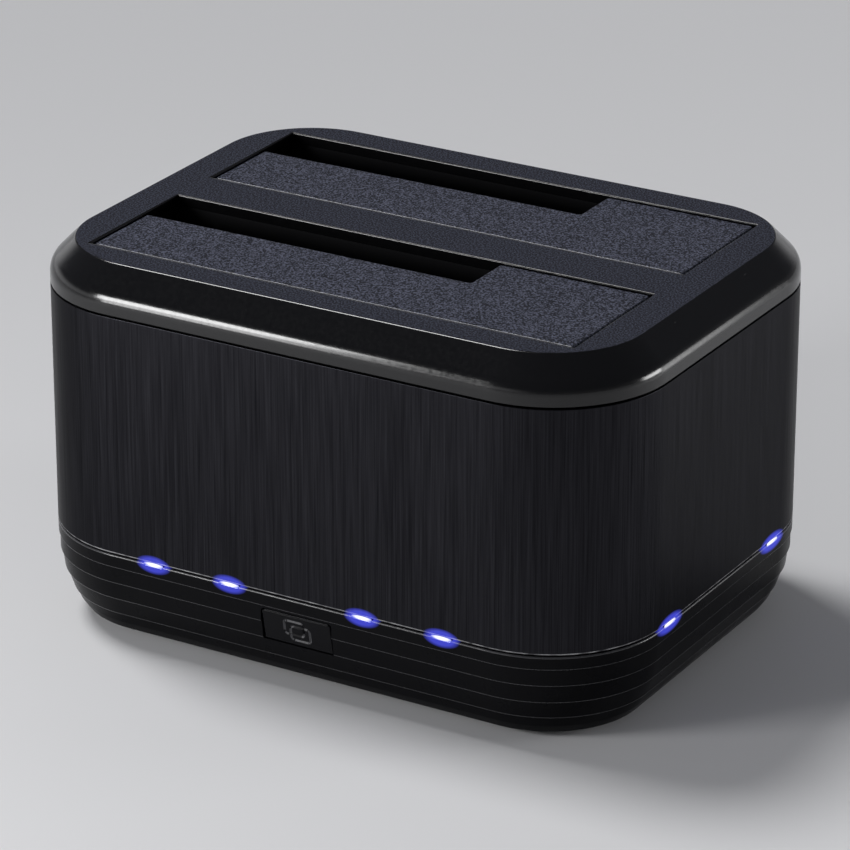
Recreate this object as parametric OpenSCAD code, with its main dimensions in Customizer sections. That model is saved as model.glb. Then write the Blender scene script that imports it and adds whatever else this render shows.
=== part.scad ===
// Dual-bay hard drive docking station: a stepped base, a brushed sleeve and a cap with two sprung
// bay doors. Millimetres, +Z up, the front with the clone button faces -Y, and Z = 0 is the underside
// of the rubber feet.

/* [Body] */
// Length of the body, left to right
body_l = 129; // [120:0.5:140]
// Depth of the body, front to back
body_w = 96; // [90:0.5:104]
// Radius of the upright corners
corner_r = 23.5; // [21:0.5:24]
// Height of the feet below the base
foot_h = 1.5; // [0.8:0.1:3]
// Height of the stepped base, up to the lower seam
base_h = 17.5; // [17.5:0.5:22]
// Height of the sleeve, between the two seams
sleeve_h = 49; // [46:0.5:60]
// Height of the cap above the upper seam
cap_h = 8.5; // [8:0.25:10]
// Open line that shows at each seam
seam_gap = 0.35; // [0.2:0.05:0.6]

/* [Shells] */
// Thickness of the sleeve's sheet
sleeve_t = 1.2; // [0.8:0.1:1.5]
// How far the flat top stands in from the sides
cap_inset = 5; // [4:0.25:6]
// Height of the cap's upright band, up to where the slope would start if it were sharp
cap_band_h = 3.4; // [2.6:0.1:4]
// Radius of the rounded shoulder between the band and the slope
cap_round = 4; // [2:0.1:4.6]
// Thickness of the cap's top plate
plate_t = 2.2; // [1.8:0.1:2.6]
// Thickness of the locating lips inside the sleeve
lip_t = 1.6; // [1.2:0.1:2]
// Height of the locating lips inside the sleeve
lip_h = 3.5; // [2.5:0.25:5]
// Clearance between a lip and the sleeve
lip_gap = 0.2; // [0.1:0.05:0.3]
// Thickness of the base's side wall behind the steps
base_wall = 2.25; // [1.8:0.05:2.5]
// Thickness of the base's floor
floor_t = 2; // [1.8:0.1:2.6]
// How far the base draws in at the bottom
base_taper = 5; // [4:0.25:5.5]
// Number of stepped bands on the base
bands = 5; // [4:1:6]
// Height of the top band
top_band_h = 2.7; // [2:0.1:3.2]
// Undercut below each band's lip
step_depth = 0.3; // [0.3:0.05:0.6]
// Radius of each band's lip
lip_round = 0.2; // [0.1:0.05:0.25]

/* [Drive bays] */
// From each end of the body to a bay's opening, which leaves 104 mm for a 101.6 mm wide drive
end_rim = 12.5; // [11.5:0.25:14]
// From the front and the back of the body to the bays' openings
front_rim = 12; // [11:0.25:14]
// Bar between the two bays
bay_gap = 12; // [11:0.25:13]
// Length of the open slot, for a 69.85 mm wide drive
slot_l = 72; // [71:0.25:76]
// Depth of the open slot
slot_d = 11.5; // [10.5:0.25:13]
// Thickness of a bay door
door_t = 2; // [1.6:0.1:2.2]
// How far a door lies below the flat top
door_sink = 0.3; // [0.15:0.05:0.4]
// Gap round a door's ends and rear edge
door_gap = 0.5; // [0.4:0.05:0.8]
// Gap along a door's hinged edge
hinge_edge_gap = 0.3; // [0.25:0.05:0.5]
// Radius of a door's hinge rod
rod_r = 0.8; // [0.6:0.05:0.9]
// Radius of a door's hinge knuckles
knuckle_r = 1.8; // [1.6:0.05:1.85]
// Wall thickness of the drive wells
well_t = 1.6; // [1.2:0.1:1.8]

/* [Drive sockets] */
// Length of a drive socket
socket_l = 42; // [40:0.5:46]
// Thickness of a drive socket
socket_w = 6; // [5.5:0.1:6.5]
// Height of a drive socket above the board
socket_h = 9; // [7:0.25:11]
// Middle of a socket from the bay's left end
socket_from_left = 32; // [28:0.5:40]
// Middle of a socket from the bay's rear edge
socket_from_rear = 4.3; // [4:0.1:6]
// Spacing of the contacts
contact_pitch = 1.27; // [1.2:0.01:1.3]

/* [Front] */
// Width of the clone button
button_w = 15; // [11:0.2:18]
// Height of the clone button
button_h = 6.4; // [5:0.1:6.6]
// Clone button's lower edge above the underside of the base
button_z = 7.7; // [7.4:0.1:8.4]
// How far the button's face leans back at its lower edge
button_lean = 1.2; // [0.6:0.1:1.8]
// Gap round the clone button
button_gap = 0.25; // [0.15:0.05:0.4]
// Travel of the clone button
button_travel = 0.8; // [0.4:0.1:1]
// Length of an indicator's window
lamp_l = 4.4; // [3:0.2:5]
// Height of an indicator's window
lamp_h = 0.9; // [0.7:0.05:1.2]
// Middle of the inner front indicators from the centre
lamp_inner_x = 14.5; // [12:0.5:18]
// Middle of the outer front indicators from the centre
lamp_outer_x = 31.5; // [26:0.5:31.5]

/* [Rear] */
// Width of the recessed port panel
panel_w = 66; // [60:0.5:68]
// How far the port panel lies in from the back
panel_inset = 3.6; // [3.4:0.1:3.8]
// Middle of the data port from the centre
port_x = 3; // [0:0.5:5]
// Middle of the power jack from the centre
jack_x = 20; // [16:0.5:24]
// Middle of the power switch from the centre
switch_x = -17; // [-22:0.5:-14]
// Radius of the power jack's centre pin
jack_pin_r = 1; // [0.8:0.05:1.25]
// Radius of the power jack's bore
jack_bore_r = 3.15; // [2.9:0.05:3.3]
// Tilt of the power rocker to each side
rocker_tilt = 9; // [6:0.5:10]

/* [Board and fasteners] */
// Thickness of the main board
board_t = 1.6; // [1.2:0.2:2]
// Height of the light sources on the board
led_h = 0.8; // [0.6:0.1:1]
// Radius of the rubber feet
foot_r = 5; // [4:0.25:6]
// Depth of the feet's recesses
foot_recess = 1; // [0.6:0.1:1.2]
// Shank radius of the case screws
case_screw_r = 1.4; // [1.2:0.05:1.5]
// Shank radius of the small screws
small_screw_r = 0.95; // [0.8:0.05:1.05]

/* [Hidden] */
$fn = 72;

// Reach of a cut past the face it opens
past = 1;
// Step of a drawn arc, in degrees
arc_step = 22.5;
// Clearance between fixed pieces that slide together
fit_gap = 0.15;
// Radial clearance of a turning or sliding pin
run_gap = 0.05;
// Radial clearance of a pin that is held still
hold_gap = 0.02;
// Radial clearance of a screw in the hole it grips
thread_gap = 0.1;
// Radial clearance of a screw in a hole it passes through
pass_gap = 0.25;

// Heights of the seams, the flat top and the underside of its plate
z_low = foot_h + base_h;
z_up = z_low + sleeve_h;
z_top = z_up + cap_h;
z_plate = z_top - plate_t;

// Length and depth of a bay's opening
bay_l = body_l - 2 * end_rim;
bay_d = (body_w - 2 * front_rim - bay_gap) / 2;
// Middles of the rounded corners
cx = body_l / 2 - corner_r;
cy = body_w / 2 - corner_r;
// Inset of a locating lip's outer face
lip_inset = sleeve_t + lip_gap;

// How much taller the lower bands of the base are than the upper ones
band_ease = 1.06;
// How sharply the base's taper turns in towards the bottom
taper_power = 2.7;
// Width of the floor's rim that the side wall carries
rim_w = 5;

// Hinge axis of a door, ahead of the bay's front edge and below the cap's plate
hinge_fwd = 2.2;
hinge_drop = 2.2;
z_hinge = z_plate - hinge_drop;
z_door = z_top - door_sink;
// Room round a door and its hinge in the upper well
door_room = 0.7;
hinge_room = 0.9;
side_room = 1.2;
// Widths and places of the hinge's ears and knuckles, from the bay's end
ear_w = 3;
mid_ear_w = 4;
knuckle_w = 6;
hinge_side_gap = 0.5;
ear_from_end = 9;
ear_x = bay_l / 2 - ear_from_end;
knuckle_x = ear_x - ear_w / 2 - hinge_side_gap - knuckle_w / 2;
ear_wall = 1.2;
arm_reach = 7;
arm_tip = 1.6;
// Tabs that stop a door under the cap's plate
stop_reach = 0.9;
stop_w = 3.5;
stop_t = 0.8;
stop_gap = 0.1;
stop_hold = 3;
// Torsion spring of a door
spring_wire_r = 0.25;
spring_coil_r = 1.35;
spring_pitch = 0.95;
spring_turns = 7;
spring_steps = 8;
spring_sides = 6;
spring_x = 5;
spring_leg_angle = 290;
spring_leg_gap = 0.05;

// Board, the well's floor above it, and the narrow pocket that holds the drive's lower end
board_top = z_low - led_h / 2;
board_bottom = board_top - board_t;
board_inset = 4.5;
standoff_h = 2;
well_floor_t = 2;
z_well = board_top + standoff_h;
pocket_front = 1.9;
pocket_side = 0.5;
ledge_room = 1.3;
z_ledge = z_hinge - hinge_fwd - bay_d - ledge_room;
hinge_pocket_h = 10;
web_t = 2;
web_from_end = 12;
web_x = bay_l / 2 - web_from_end;

// Case screws, their posts in the base and their bosses on the cradle
post_r = 3;
post_x = 38;
post_from_well = 1.6;
post_y = bay_gap / 2 + bay_d + well_t + post_from_well;
post_seat = 8;
boss_h = 11;
boss_web = 4;
case_head_r = 2.4;
case_head_h = 1.8;
case_screw_l = 17;
// Screws that hold the cradle to the cap
ear_screw_x = (bay_l / 2 + side_room + well_t + body_l / 2 - lip_inset - lip_t) / 2;
ear_screw_y = 14;
ear_plate_t = 2.5;
ear_plate_w = 6;
ear_drop = 12;
cap_boss_r = 2.5;
small_head_r = 1.9;
small_head_h = 1.4;
cradle_screw_l = 9;
// Screws that hold the board to the cradle
board_screw_from_end = 6;
board_screw_x = bay_l / 2 - board_screw_from_end;
board_screw_back = 14;
standoff_r = 2.4;
board_screw_l = 4.4;
// Cross recess of every screw head
cross_w = 0.6;
cross_depth = 0.7;
cross_rim = 0.7;

// Middles of the feet, from the edge of the flat underside
foot_from_end = 15.5;
foot_from_front = 16;
foot_x = body_l / 2 - base_taper - foot_from_end;
foot_y = body_w / 2 - base_taper - foot_from_front;

// Clone button and the push switch behind it
button_top_inset = 0.15;
button_round = 0.6;
pad_t = 2;
pad_rim = 3.2;
flange_t = 0.9;
flange_rim = 1.4;
flange_gap = 0.1;
button_mid_z = foot_h + button_z + button_h / 2;
switch_w = 6;
switch_d = 3.5;
plunger_r = 1.7;
plunger_l = 2.6;
plunger_in = 1;
switch_leg_w = 0.8;
led_l = 3;
led_d = 1;
led_gap = 0.2;

// Port panel and its ports
panel_t = 2;
panel_cheek = 2;
panel_sill = 3.5;
panel_roof = 1.6;
panel_y = body_w / 2 - panel_inset;
panel_mid_z = foot_h + (panel_sill + base_h - panel_roof) / 2;
port_gap = 0.25;
port_wall = 0.5;
port_l = 15;
port_proud = 0.2;
port_w = 9.5;
port_small_w = 6.7;
port_h = 11.2;
port_small_h = 2.9;
port_chamfer_h = 2;
port_back = 4;
tongue_in = 1.5;
tongue_w = 5.6;
tongue_h = 3.2;
tongue_drop = 2.6;
small_tongue_w = 4.6;
small_tongue_h = 1.1;
small_tongue_drop = 8.9;
jack_w = 9;
jack_h = 11;
jack_l = 13;
jack_nose_r = 4.3;
jack_bore_l = 10;
jack_pin_l = 9;
jack_z = board_bottom - jack_h / 2;
bezel_w = 15;
bezel_h = 10.8;
bezel_t = 1;
switch_body_w = 13;
switch_body_h = 9;
switch_body_l = 9;
window_w = 11.6;
window_h = 7.4;
window_l = 5.2;
rocker_w = 10;
rocker_h = 7;
rocker_pivot = 2;
rocker_peak = 1.9;
rocker_dip = 1;
trunnion_r = 0.7;
trunnion_l = 0.6;
terminal_w = 2;
terminal_t = 0.8;
terminal_back = 2;
terminal_x = 3.6;

function at_inset(points) = [for (p = points) [corner_r - p[0], p[1]]];
function bay_front(rear) = rear ? bay_gap / 2 : -bay_gap / 2 - bay_d;
function corner_at(i) = [[cx, cy], [-cx, cy], [-cx, -cy], [cx, -cy]][i % 4];

// Sweeps a profile, drawn outwards from a corner's middle, once round the body
module round_body() {
    for (i = [0:3]) {
        translate(corner_at(i))
            rotate(90 * i)
                rotate_extrude(angle = 90)
                    children();
        translate(corner_at(i + 1))
            rotate([90, 0, 90 * (i + 1)])
                linear_extrude(i % 2 == 0 ? 2 * cx : 2 * cy)
                    children();
    }
}

// Flat plate with the body's outline, drawn in by an inset
module slab(inset, z, h) {
    round_body()
        translate([0, z])
            square([corner_r - inset, h]);
    translate([-cx, -cy, z])
        cube([2 * cx, 2 * cy, h]);
}

// Box between two corners
module block(a, b) {
    translate(a)
        cube(b - a);
}

// Rod along X, centred on the row's middle plane
module x_rod(r, l) {
    rotate([0, 90, 0])
        cylinder(r = r, h = l, center = true);
}

// Upright screw with its head at the bottom and a cross recess in it
module screw(r, l, head_r, head_h) {
    difference() {
        union() {
            cylinder(r = r, h = l);
            translate([0, 0, -head_h])
                cylinder(r = head_r, h = head_h);
        }
        for (a = [0, 90])
            rotate(a)
                block([cross_rim - head_r, -cross_w / 2, -head_h - past],
                      [head_r - cross_rim, cross_w / 2, cross_depth - head_h]);
    }
}

// Puts one copy at each corner of a rectangle centred on the body
module at_corners(x, y) {
    for (sx = [-1, 1], sy = [-1, 1])
        translate([sx * x, sy * y, 0])
            children();
}

// Puts one copy beside each end of each bay, at a distance behind the bay's front edge
module at_bay_ends(x, back) {
    for (sx = [-1, 1], rear = [false, true])
        translate([sx * x, bay_front(rear) + back, 0])
            children();
}

// Puts one copy at each of the four front indicators, facing the front
module at_front_lamps() {
    for (x = [-lamp_outer_x, -lamp_inner_x, lamp_inner_x, lamp_outer_x])
        translate([x, -body_w / 2, z_low])
            children();
}

// Puts one copy at each of the four end indicators, in line with the bays, facing the end
module at_side_lamps() {
    for (side = [0, 1], rear = [false, true])
        rotate(180 * side)
            translate([body_l / 2, bay_front(rear) + bay_d / 2, z_low])
                rotate(90)
                    children();
}

// Flat bar with round ends, as wide and high as an indicator, running inwards from the wall
module lamp_bar(grow, from, to) {
    ends = [for (side = [0, 1], a = [-90:arc_step:90])
        [cos(a + 180 * side), sin(a + 180 * side)] * (lamp_h / 2 + grow)
            + [(1 - 2 * side) * (lamp_l - lamp_h) / 2, 0]];
    translate([0, to, 0])
        rotate([90, 0, 0])
            linear_extrude(to - from)
                polygon(ends);
}

// Slope of the cap, the tangent length of its rounded shoulder, and the shoulder's arc
cap_slope = atan((cap_h - cap_band_h) / cap_inset);
cap_turn = 90 - cap_slope;
cap_tangent = cap_round * tan(cap_turn / 2);
cap_steps = 6;
cap_arc = [for (i = [0:cap_steps]) let (a = cap_turn * i / cap_steps)
    [cap_round * (1 - cos(a)), cap_band_h - cap_tangent + cap_round * sin(a)]];
// Inner face of the cap's slope, where it meets the lip and the plate
cap_wall = plate_t / cos(cap_slope);
cap_inner_z = cap_band_h + (lip_inset + lip_t) * tan(cap_slope) - cap_wall;
cap_inner_inset = cap_inset + (cap_wall - plate_t) / tan(cap_slope);
// Profile of the cap: band, shoulder, slope, plate edge, inner slope and locating lip
cap_profile = concat(
    [[0, 0]],
    cap_arc,
    [[cap_inset, cap_h],
     [cap_inset + rim_w, cap_h],
     [cap_inset + rim_w, cap_h - plate_t],
     [cap_inner_inset, cap_h - plate_t],
     [lip_inset + lip_t, cap_inner_z],
     [lip_inset + lip_t, -lip_h],
     [lip_inset, -lip_h],
     [lip_inset, 0]]);

// Profile of what the cradle's top leaves to the cap's slope and lip
cap_clear = [[-past, cap_h],
             [cap_inner_inset + fit_gap, cap_h],
             [cap_inner_inset + fit_gap, cap_h - plate_t],
             [lip_inset + lip_t + fit_gap, cap_inner_z],
             [lip_inset + lip_t + fit_gap, -lip_h],
             [-past, -lip_h]];

// Ears under the cap that hold a hinge rod
module hinge_ears() {
    for (e = [[-ear_x, ear_w], [0, mid_ear_w], [ear_x, ear_w]])
        translate([e[0], -hinge_fwd, z_hinge])
            block([-e[1] / 2, -rod_r - ear_wall, -rod_r - ear_wall],
                  [e[1] / 2, rod_r + ear_wall, hinge_drop + plate_t / 2]);
}

// Moulded cap with a flat top, two bay openings, hinge ears and screw bosses
module top_cover() {
    color([0.09, 0.09, 0.11])
        difference() {
            union() {
                translate([0, 0, z_up])
                    round_body()
                        polygon(at_inset(cap_profile));
                slab(cap_inset + rim_w / 2, z_plate, plate_t);
                for (rear = [false, true])
                    translate([0, bay_front(rear), 0])
                        hinge_ears();
                at_corners(ear_screw_x, ear_screw_y)
                    translate([0, 0, z_plate - ear_drop])
                        cylinder(r = cap_boss_r, h = ear_drop + plate_t / 2);
            }
            for (rear = [false, true])
                translate([0, bay_front(rear), 0]) {
                    block([-bay_l / 2, 0, z_plate - past], [bay_l / 2, bay_d, z_top + past]);
                    translate([0, -hinge_fwd, z_hinge])
                        x_rod(rod_r + hold_gap, bay_l);
                }
            at_corners(ear_screw_x, ear_screw_y)
                translate([0, 0, z_plate - ear_drop - past])
                    cylinder(r = small_screw_r + thread_gap, h = cradle_screw_l + past);
        }
}

// Rectangular tube of brushed sheet with rounded corners, notched for the indicators
module aluminium_sleeve() {
    color([0.11, 0.11, 0.125])
        difference() {
            translate([0, 0, z_low + seam_gap])
                round_body()
                    translate([corner_r - sleeve_t, 0])
                        square([sleeve_t, sleeve_h - 2 * seam_gap]);
            at_front_lamps()
                lamp_bar(fit_gap, -past, sleeve_t + past);
            at_side_lamps()
                lamp_bar(fit_gap, -past, sleeve_t + past);
        }
}

// Outside of one drive well: the wide upper part, its hinge pocket and the narrow lower pocket
module well_outside() {
    block([-bay_l / 2 - side_room - well_t, -door_room - well_t, z_ledge - well_t],
          [bay_l / 2 + side_room + well_t, bay_d + well_t, z_plate]);
    block([-ear_x - ear_w - well_t, -hinge_fwd - knuckle_r - hinge_room - well_t,
           z_hinge - hinge_pocket_h - well_t],
          [ear_x + ear_w + well_t, 0, z_plate]);
    block([-bay_l / 2 + pocket_side - well_t, pocket_front - well_t, z_well],
          [bay_l / 2 - pocket_side + well_t, bay_d + well_t, z_ledge]);
}

// Space inside one drive well, open at the top, with the hole for its socket
module well_inside() {
    block([-bay_l / 2 - side_room, -door_room, z_ledge],
          [bay_l / 2 + side_room, bay_d, z_plate + past]);
    block([-ear_x - ear_w, -hinge_fwd - knuckle_r - hinge_room, z_hinge - hinge_pocket_h],
          [ear_x + ear_w, past, z_plate + past]);
    block([-bay_l / 2 + pocket_side, pocket_front, z_well + well_floor_t],
          [bay_l / 2 - pocket_side, bay_d, z_ledge + past]);
    translate([socket_from_left - bay_l / 2, bay_d - socket_from_rear, 0])
        block([-socket_l / 2 - fit_gap, -socket_w / 2 - fit_gap, z_well - past],
              [socket_l / 2 + fit_gap, socket_w / 2 + fit_gap, z_well + well_floor_t + past]);
}

// Moulding with the two drive wells, its bosses, screw ears and board standoffs
module drive_cradle() {
    color([0.13, 0.13, 0.14])
        difference() {
            union() {
                for (rear = [false, true])
                    translate([0, bay_front(rear), 0])
                        well_outside();
                for (x = [-web_x, 0, web_x])
                    block([x - web_t / 2, -bay_gap / 2, z_well],
                          [x + web_t / 2, bay_gap / 2 + pocket_front, z_plate - hinge_pocket_h]);
                at_corners(post_x, post_y)
                    translate([0, 0, z_well])
                        cylinder(r = post_r, h = boss_h);
                for (sx = [-1, 1], half = [0, 1])
                    rotate(180 * half) {
                        translate([sx * post_x, post_y, z_well])
                            block([-boss_web / 2, -post_r - boss_web / 2, 0], [boss_web / 2, 0, boss_h]);
                        translate([ear_screw_x, sx * ear_screw_y, z_plate - ear_drop - ear_plate_t])
                            block([-cap_boss_r - well_t, -ear_plate_w / 2, 0],
                                  [cap_boss_r, ear_plate_w / 2, ear_plate_t]);
                    }
                at_bay_ends(board_screw_x, board_screw_back)
                    translate([0, 0, board_top])
                        cylinder(r = standoff_r, h = standoff_h + well_floor_t / 2);
            }
            for (rear = [false, true])
                translate([0, bay_front(rear), 0])
                    well_inside();
            translate([0, 0, z_up])
                round_body()
                    polygon(at_inset(cap_clear));
            at_corners(post_x, post_y)
                translate([0, 0, z_well - past])
                    cylinder(r = case_screw_r + thread_gap, h = case_screw_l - post_seat + 2 * past);
            at_corners(ear_screw_x, ear_screw_y)
                translate([0, 0, z_plate - ear_drop - ear_plate_t - past])
                    cylinder(r = small_screw_r + pass_gap, h = ear_plate_t + 2 * past);
            at_bay_ends(board_screw_x, board_screw_back)
                translate([0, 0, board_top - past])
                    cylinder(r = small_screw_r + thread_gap, h = past + standoff_h + well_floor_t / 2);
        }
}

// Height of the lower edge of each band of the base, and the inset of its taper there
function band_z(i) = i == 0 ? base_h
    : (base_h - top_band_h) * (1 - pow((i - 1) / (bands - 1), band_ease));
function taper_at(z) = base_taper * pow(1 - z / base_h, taper_power);
// Inset of the base's inner face
function inner_at(z) = taper_at(z) + step_depth + base_wall;
// Back of the pad behind the button, the button's flange and the push switch's front
pad_y = inner_at(button_z - pad_rim / 2) + fit_gap - body_w / 2;
flange_y = pad_y + flange_gap;
switch_front = flange_y + flange_t + plunger_l - plunger_in;
// Profile of the base: shingled bands, curved bottom edge, floor rim, inner face and locating lip
last_band = band_z(bands - 1);
bottom_steps = 5;
base_profile = concat(
    [[0, base_h]],
    [for (i = [1:bands - 1]) each concat(
        [for (a = [0:2 * arc_step:90]) [taper_at(band_z(i)), band_z(i)]
            + lip_round * [1 - cos(a), 1 - sin(a)]],
        [[taper_at(band_z(i)) + step_depth, band_z(i)]])],
    [for (i = [2:bottom_steps]) let (z = last_band * (1 - sin(90 * i / bottom_steps))) [taper_at(z), z]],
    [[base_taper + rim_w + base_wall, 0],
     [base_taper + rim_w + base_wall, floor_t],
     [inner_at(floor_t), floor_t]],
    [for (i = [bands - 1:-1:0]) [inner_at(band_z(i)), band_z(i)]],
    [[step_depth + base_wall, base_h + lip_h],
     [lip_inset, base_h + lip_h],
     [lip_inset, base_h]]);

// Stepped, tapering tray that carries the button, the indicators' notches and the port panel
module base_tray() {
    color([0.07, 0.07, 0.08])
        difference() {
            union() {
                translate([0, 0, foot_h]) {
                    round_body()
                        polygon(at_inset(base_profile));
                    slab(base_taper + rim_w, 0, floor_t);
                }
                at_corners(post_x, post_y)
                    translate([0, 0, foot_h])
                        cylinder(r = post_r, h = z_well - foot_h);
                block([-button_w / 2 - pad_rim, pad_y - pad_t, foot_h + button_z - pad_rim / 2],
                      [button_w / 2 + pad_rim, pad_y, z_low]);
                port_block();
            }
            port_openings();
            at_corners(post_x, post_y)
                translate([0, 0, foot_h - past]) {
                    cylinder(r = case_screw_r + pass_gap, h = z_well);
                    cylinder(r = case_head_r + pass_gap, h = past + z_well - foot_h - post_seat);
                }
            at_corners(foot_x, foot_y)
                translate([0, 0, foot_h - past])
                    cylinder(r = foot_r + fit_gap, h = past + foot_recess);
            translate([0, pad_y + past, foot_h + button_z])
                rotate([90, 0, 0])
                    linear_extrude(body_w / 2)
                        polygon(button_face(button_gap));
            at_front_lamps()
                lamp_bar(fit_gap, -past, step_depth + base_wall + past);
            at_side_lamps()
                lamp_bar(fit_gap, -past, step_depth + base_wall + past);
        }
}

// Solid behind the recessed port panel, which follows the base's taper
module port_block() {
    low = panel_sill - panel_cheek / 2;
    heights = [for (i = [0:bands]) base_h + (low - base_h) * i / bands];
    translate([-panel_w / 2 - panel_cheek, 0, foot_h])
        rotate([90, 0, 90])
            linear_extrude(panel_w + 2 * panel_cheek)
                polygon(concat(
                    [[panel_y - panel_t, low], [panel_y - panel_t, base_h]],
                    [for (z = heights) [body_w / 2 - taper_at(z) - step_depth, z]]));
}

// Recess of the port panel, and the openings of the ports and the switch in it
module port_openings() {
    block([-panel_w / 2, panel_y, foot_h + panel_sill],
          [panel_w / 2, body_w / 2 + past, z_low - panel_roof]);
    translate([port_x, panel_y + past, board_bottom])
        rotate([90, 0, 0])
            linear_extrude(panel_t + 2 * past)
                polygon(port_outline(-port_gap));
    translate([jack_x, panel_y + past, jack_z])
        rotate([90, 0, 0])
            cylinder(r = jack_nose_r + port_gap, h = panel_t + 2 * past);
    translate([switch_x, panel_y, panel_mid_z])
        block([-switch_body_w / 2 - fit_gap, -panel_t - past, -switch_body_h / 2 - fit_gap],
              [switch_body_w / 2 + fit_gap, past, switch_body_h / 2 + fit_gap]);
}

// Round feet, set in shallow recesses
module rubber_feet() {
    color([0.05, 0.05, 0.05])
        at_corners(foot_x, foot_y)
            cylinder(r = foot_r, h = foot_h + foot_recess);
}

// Long screws up through the base's posts into the cradle
module case_screws() {
    color([0.6, 0.6, 0.62])
        at_corners(post_x, post_y)
            translate([0, 0, z_well - post_seat])
                screw(case_screw_r, case_screw_l, case_head_r, case_head_h);
}

// Screws up through the cradle's ears into the cap's bosses
module cradle_screws() {
    color([0.6, 0.6, 0.62])
        at_corners(ear_screw_x, ear_screw_y)
            translate([0, 0, z_plate - ear_drop - ear_plate_t])
                screw(small_screw_r, cradle_screw_l, small_head_r, small_head_h);
}

// Screws up through the board into the cradle's standoffs
module board_screws() {
    color([0.6, 0.6, 0.62])
        at_bay_ends(board_screw_x, board_screw_back)
            translate([0, 0, board_bottom])
                screw(small_screw_r, board_screw_l, small_head_r, small_head_h);
}

// Circuit board that hangs under the cradle, cut away round the posts, the button and the port panel
module main_board() {
    color([0.04, 0.2, 0.12])
        difference() {
            slab(board_inset, board_bottom, board_t);
            at_corners(post_x, post_y)
                translate([0, 0, board_bottom - past])
                    cylinder(r = post_r + pass_gap, h = board_t + 2 * past);
            for (sx = [-1, 1], side = [0, 1])
                rotate(180 * side)
                    block([sx * post_x - post_r - pass_gap, post_y, board_bottom - past],
                          [sx * post_x + post_r + pass_gap, body_w / 2, board_top + past]);
            block([-panel_w / 2 - panel_cheek - fit_gap, panel_y - panel_t - fit_gap, board_bottom - past],
                  [panel_w / 2 + panel_cheek + fit_gap, body_w / 2, board_top + past]);
            block([-button_w / 2 - flange_rim - pass_gap, -body_w / 2, board_bottom - past],
                  [button_w / 2 + flange_rim + pass_gap,
                   flange_y + flange_t + button_travel + pass_gap, board_top + past]);
            at_bay_ends(board_screw_x, board_screw_back)
                translate([0, 0, board_bottom - past])
                    cylinder(r = small_screw_r + pass_gap, h = board_t + 2 * past);
        }
}

// Widths of the socket's two slots, the wall between them and the slots' place
contact_edge = 1.2;
signal_count = 7;
power_count = 15;
socket_slot_w = 2.6;
socket_slot_h = 6.5;
socket_key = 2.4;
signal_l = (signal_count - 1) * contact_pitch + 2 * contact_edge;
power_l = (power_count - 1) * contact_pitch + 2 * contact_edge;
slots_l = signal_l + socket_key + power_l;
contact_w = 0.7;
contact_t = 0.3;
contact_bow = 0.45;
contact_h = 5.8;
socket_lip = 0.8;
socket_step = 1.3;

// Upright drive socket: body, two contact slots and tall guide ends
module sata_socket(rear) {
    color([0.03, 0.03, 0.035])
        translate([socket_from_left - bay_l / 2, bay_front(rear) + bay_d - socket_from_rear, board_top])
            difference() {
                block([-socket_l / 2, -socket_w / 2, 0], [socket_l / 2, socket_w / 2, socket_h]);
                translate([-slots_l / 2, -socket_slot_w / 2, socket_h - socket_slot_h]) {
                    cube([signal_l, socket_slot_w, socket_h]);
                    translate([signal_l + socket_key, 0, 0])
                        cube([power_l, socket_slot_w, socket_h]);
                }
                for (side = [0, 1])
                    rotate(180 * side)
                        block([-slots_l / 2, socket_slot_w / 2 + socket_lip, socket_h - socket_step],
                              [slots_l / 2, socket_w, socket_h + past]);
            }
}

// Bowed spring contacts standing along one wall of the socket's slots
module sata_contacts(rear) {
    starts = concat([for (i = [0:signal_count - 1]) contact_edge + i * contact_pitch],
                    [for (i = [0:power_count - 1]) signal_l + socket_key + contact_edge + i * contact_pitch]);
    third = contact_h / 3;
    color([0.85, 0.65, 0.25])
        translate([socket_from_left - bay_l / 2 - slots_l / 2, bay_front(rear) + bay_d - socket_from_rear,
                   board_top + socket_h - socket_slot_h])
            for (x = starts)
                translate([x - contact_w / 2, socket_slot_w / 2, 0])
                    rotate([90, 0, 90])
                        linear_extrude(contact_w)
                            polygon([[-contact_t, 0], [0, 0], [0, third], [-contact_bow, 2 * third],
                                     [0, contact_h], [-contact_t, contact_h],
                                     [-contact_t - contact_bow, 2 * third], [-contact_t, third]]);
}

// Outline of the data port, hanging down from the board, drawn in by a wall
function port_outline(wall) = [
    [-port_w / 2 + wall, -wall],
    [port_w / 2 - wall, -wall],
    [port_w / 2 - wall, -port_h + port_small_h + port_chamfer_h + wall / 2],
    [port_small_w / 2 - wall, -port_h + port_small_h + wall / 2],
    [port_small_w / 2 - wall, -port_h + wall],
    [-port_small_w / 2 + wall, -port_h + wall],
    [-port_small_w / 2 + wall, -port_h + port_small_h + wall / 2],
    [-port_w / 2 + wall, -port_h + port_small_h + port_chamfer_h + wall / 2]];

// Metal shell of the data port
module usb_port_shell() {
    color([0.7, 0.7, 0.72])
        translate([port_x, panel_y + port_proud, board_bottom])
            rotate([90, 0, 0])
                difference() {
                    linear_extrude(port_l)
                        polygon(port_outline(0));
                    translate([0, 0, -past])
                        linear_extrude(port_l + 2 * past)
                            polygon(port_outline(port_wall));
                }
}

// Insulator of the data port: a back plug with a broad and a narrow tongue
module usb_port_tongue() {
    color([0.05, 0.15, 0.6])
        translate([port_x, panel_y + port_proud, board_bottom])
            rotate([90, 0, 0]) {
                translate([0, 0, port_l - port_back])
                    linear_extrude(port_back)
                        polygon(port_outline(port_wall + run_gap));
                translate([-tongue_w / 2, -tongue_drop - tongue_h, tongue_in])
                    cube([tongue_w, tongue_h, port_l - tongue_in - port_back / 2]);
                translate([-small_tongue_w / 2, -small_tongue_drop - small_tongue_h, tongue_in])
                    cube([small_tongue_w, small_tongue_h, port_l - tongue_in - port_back / 2]);
            }
}

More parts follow.
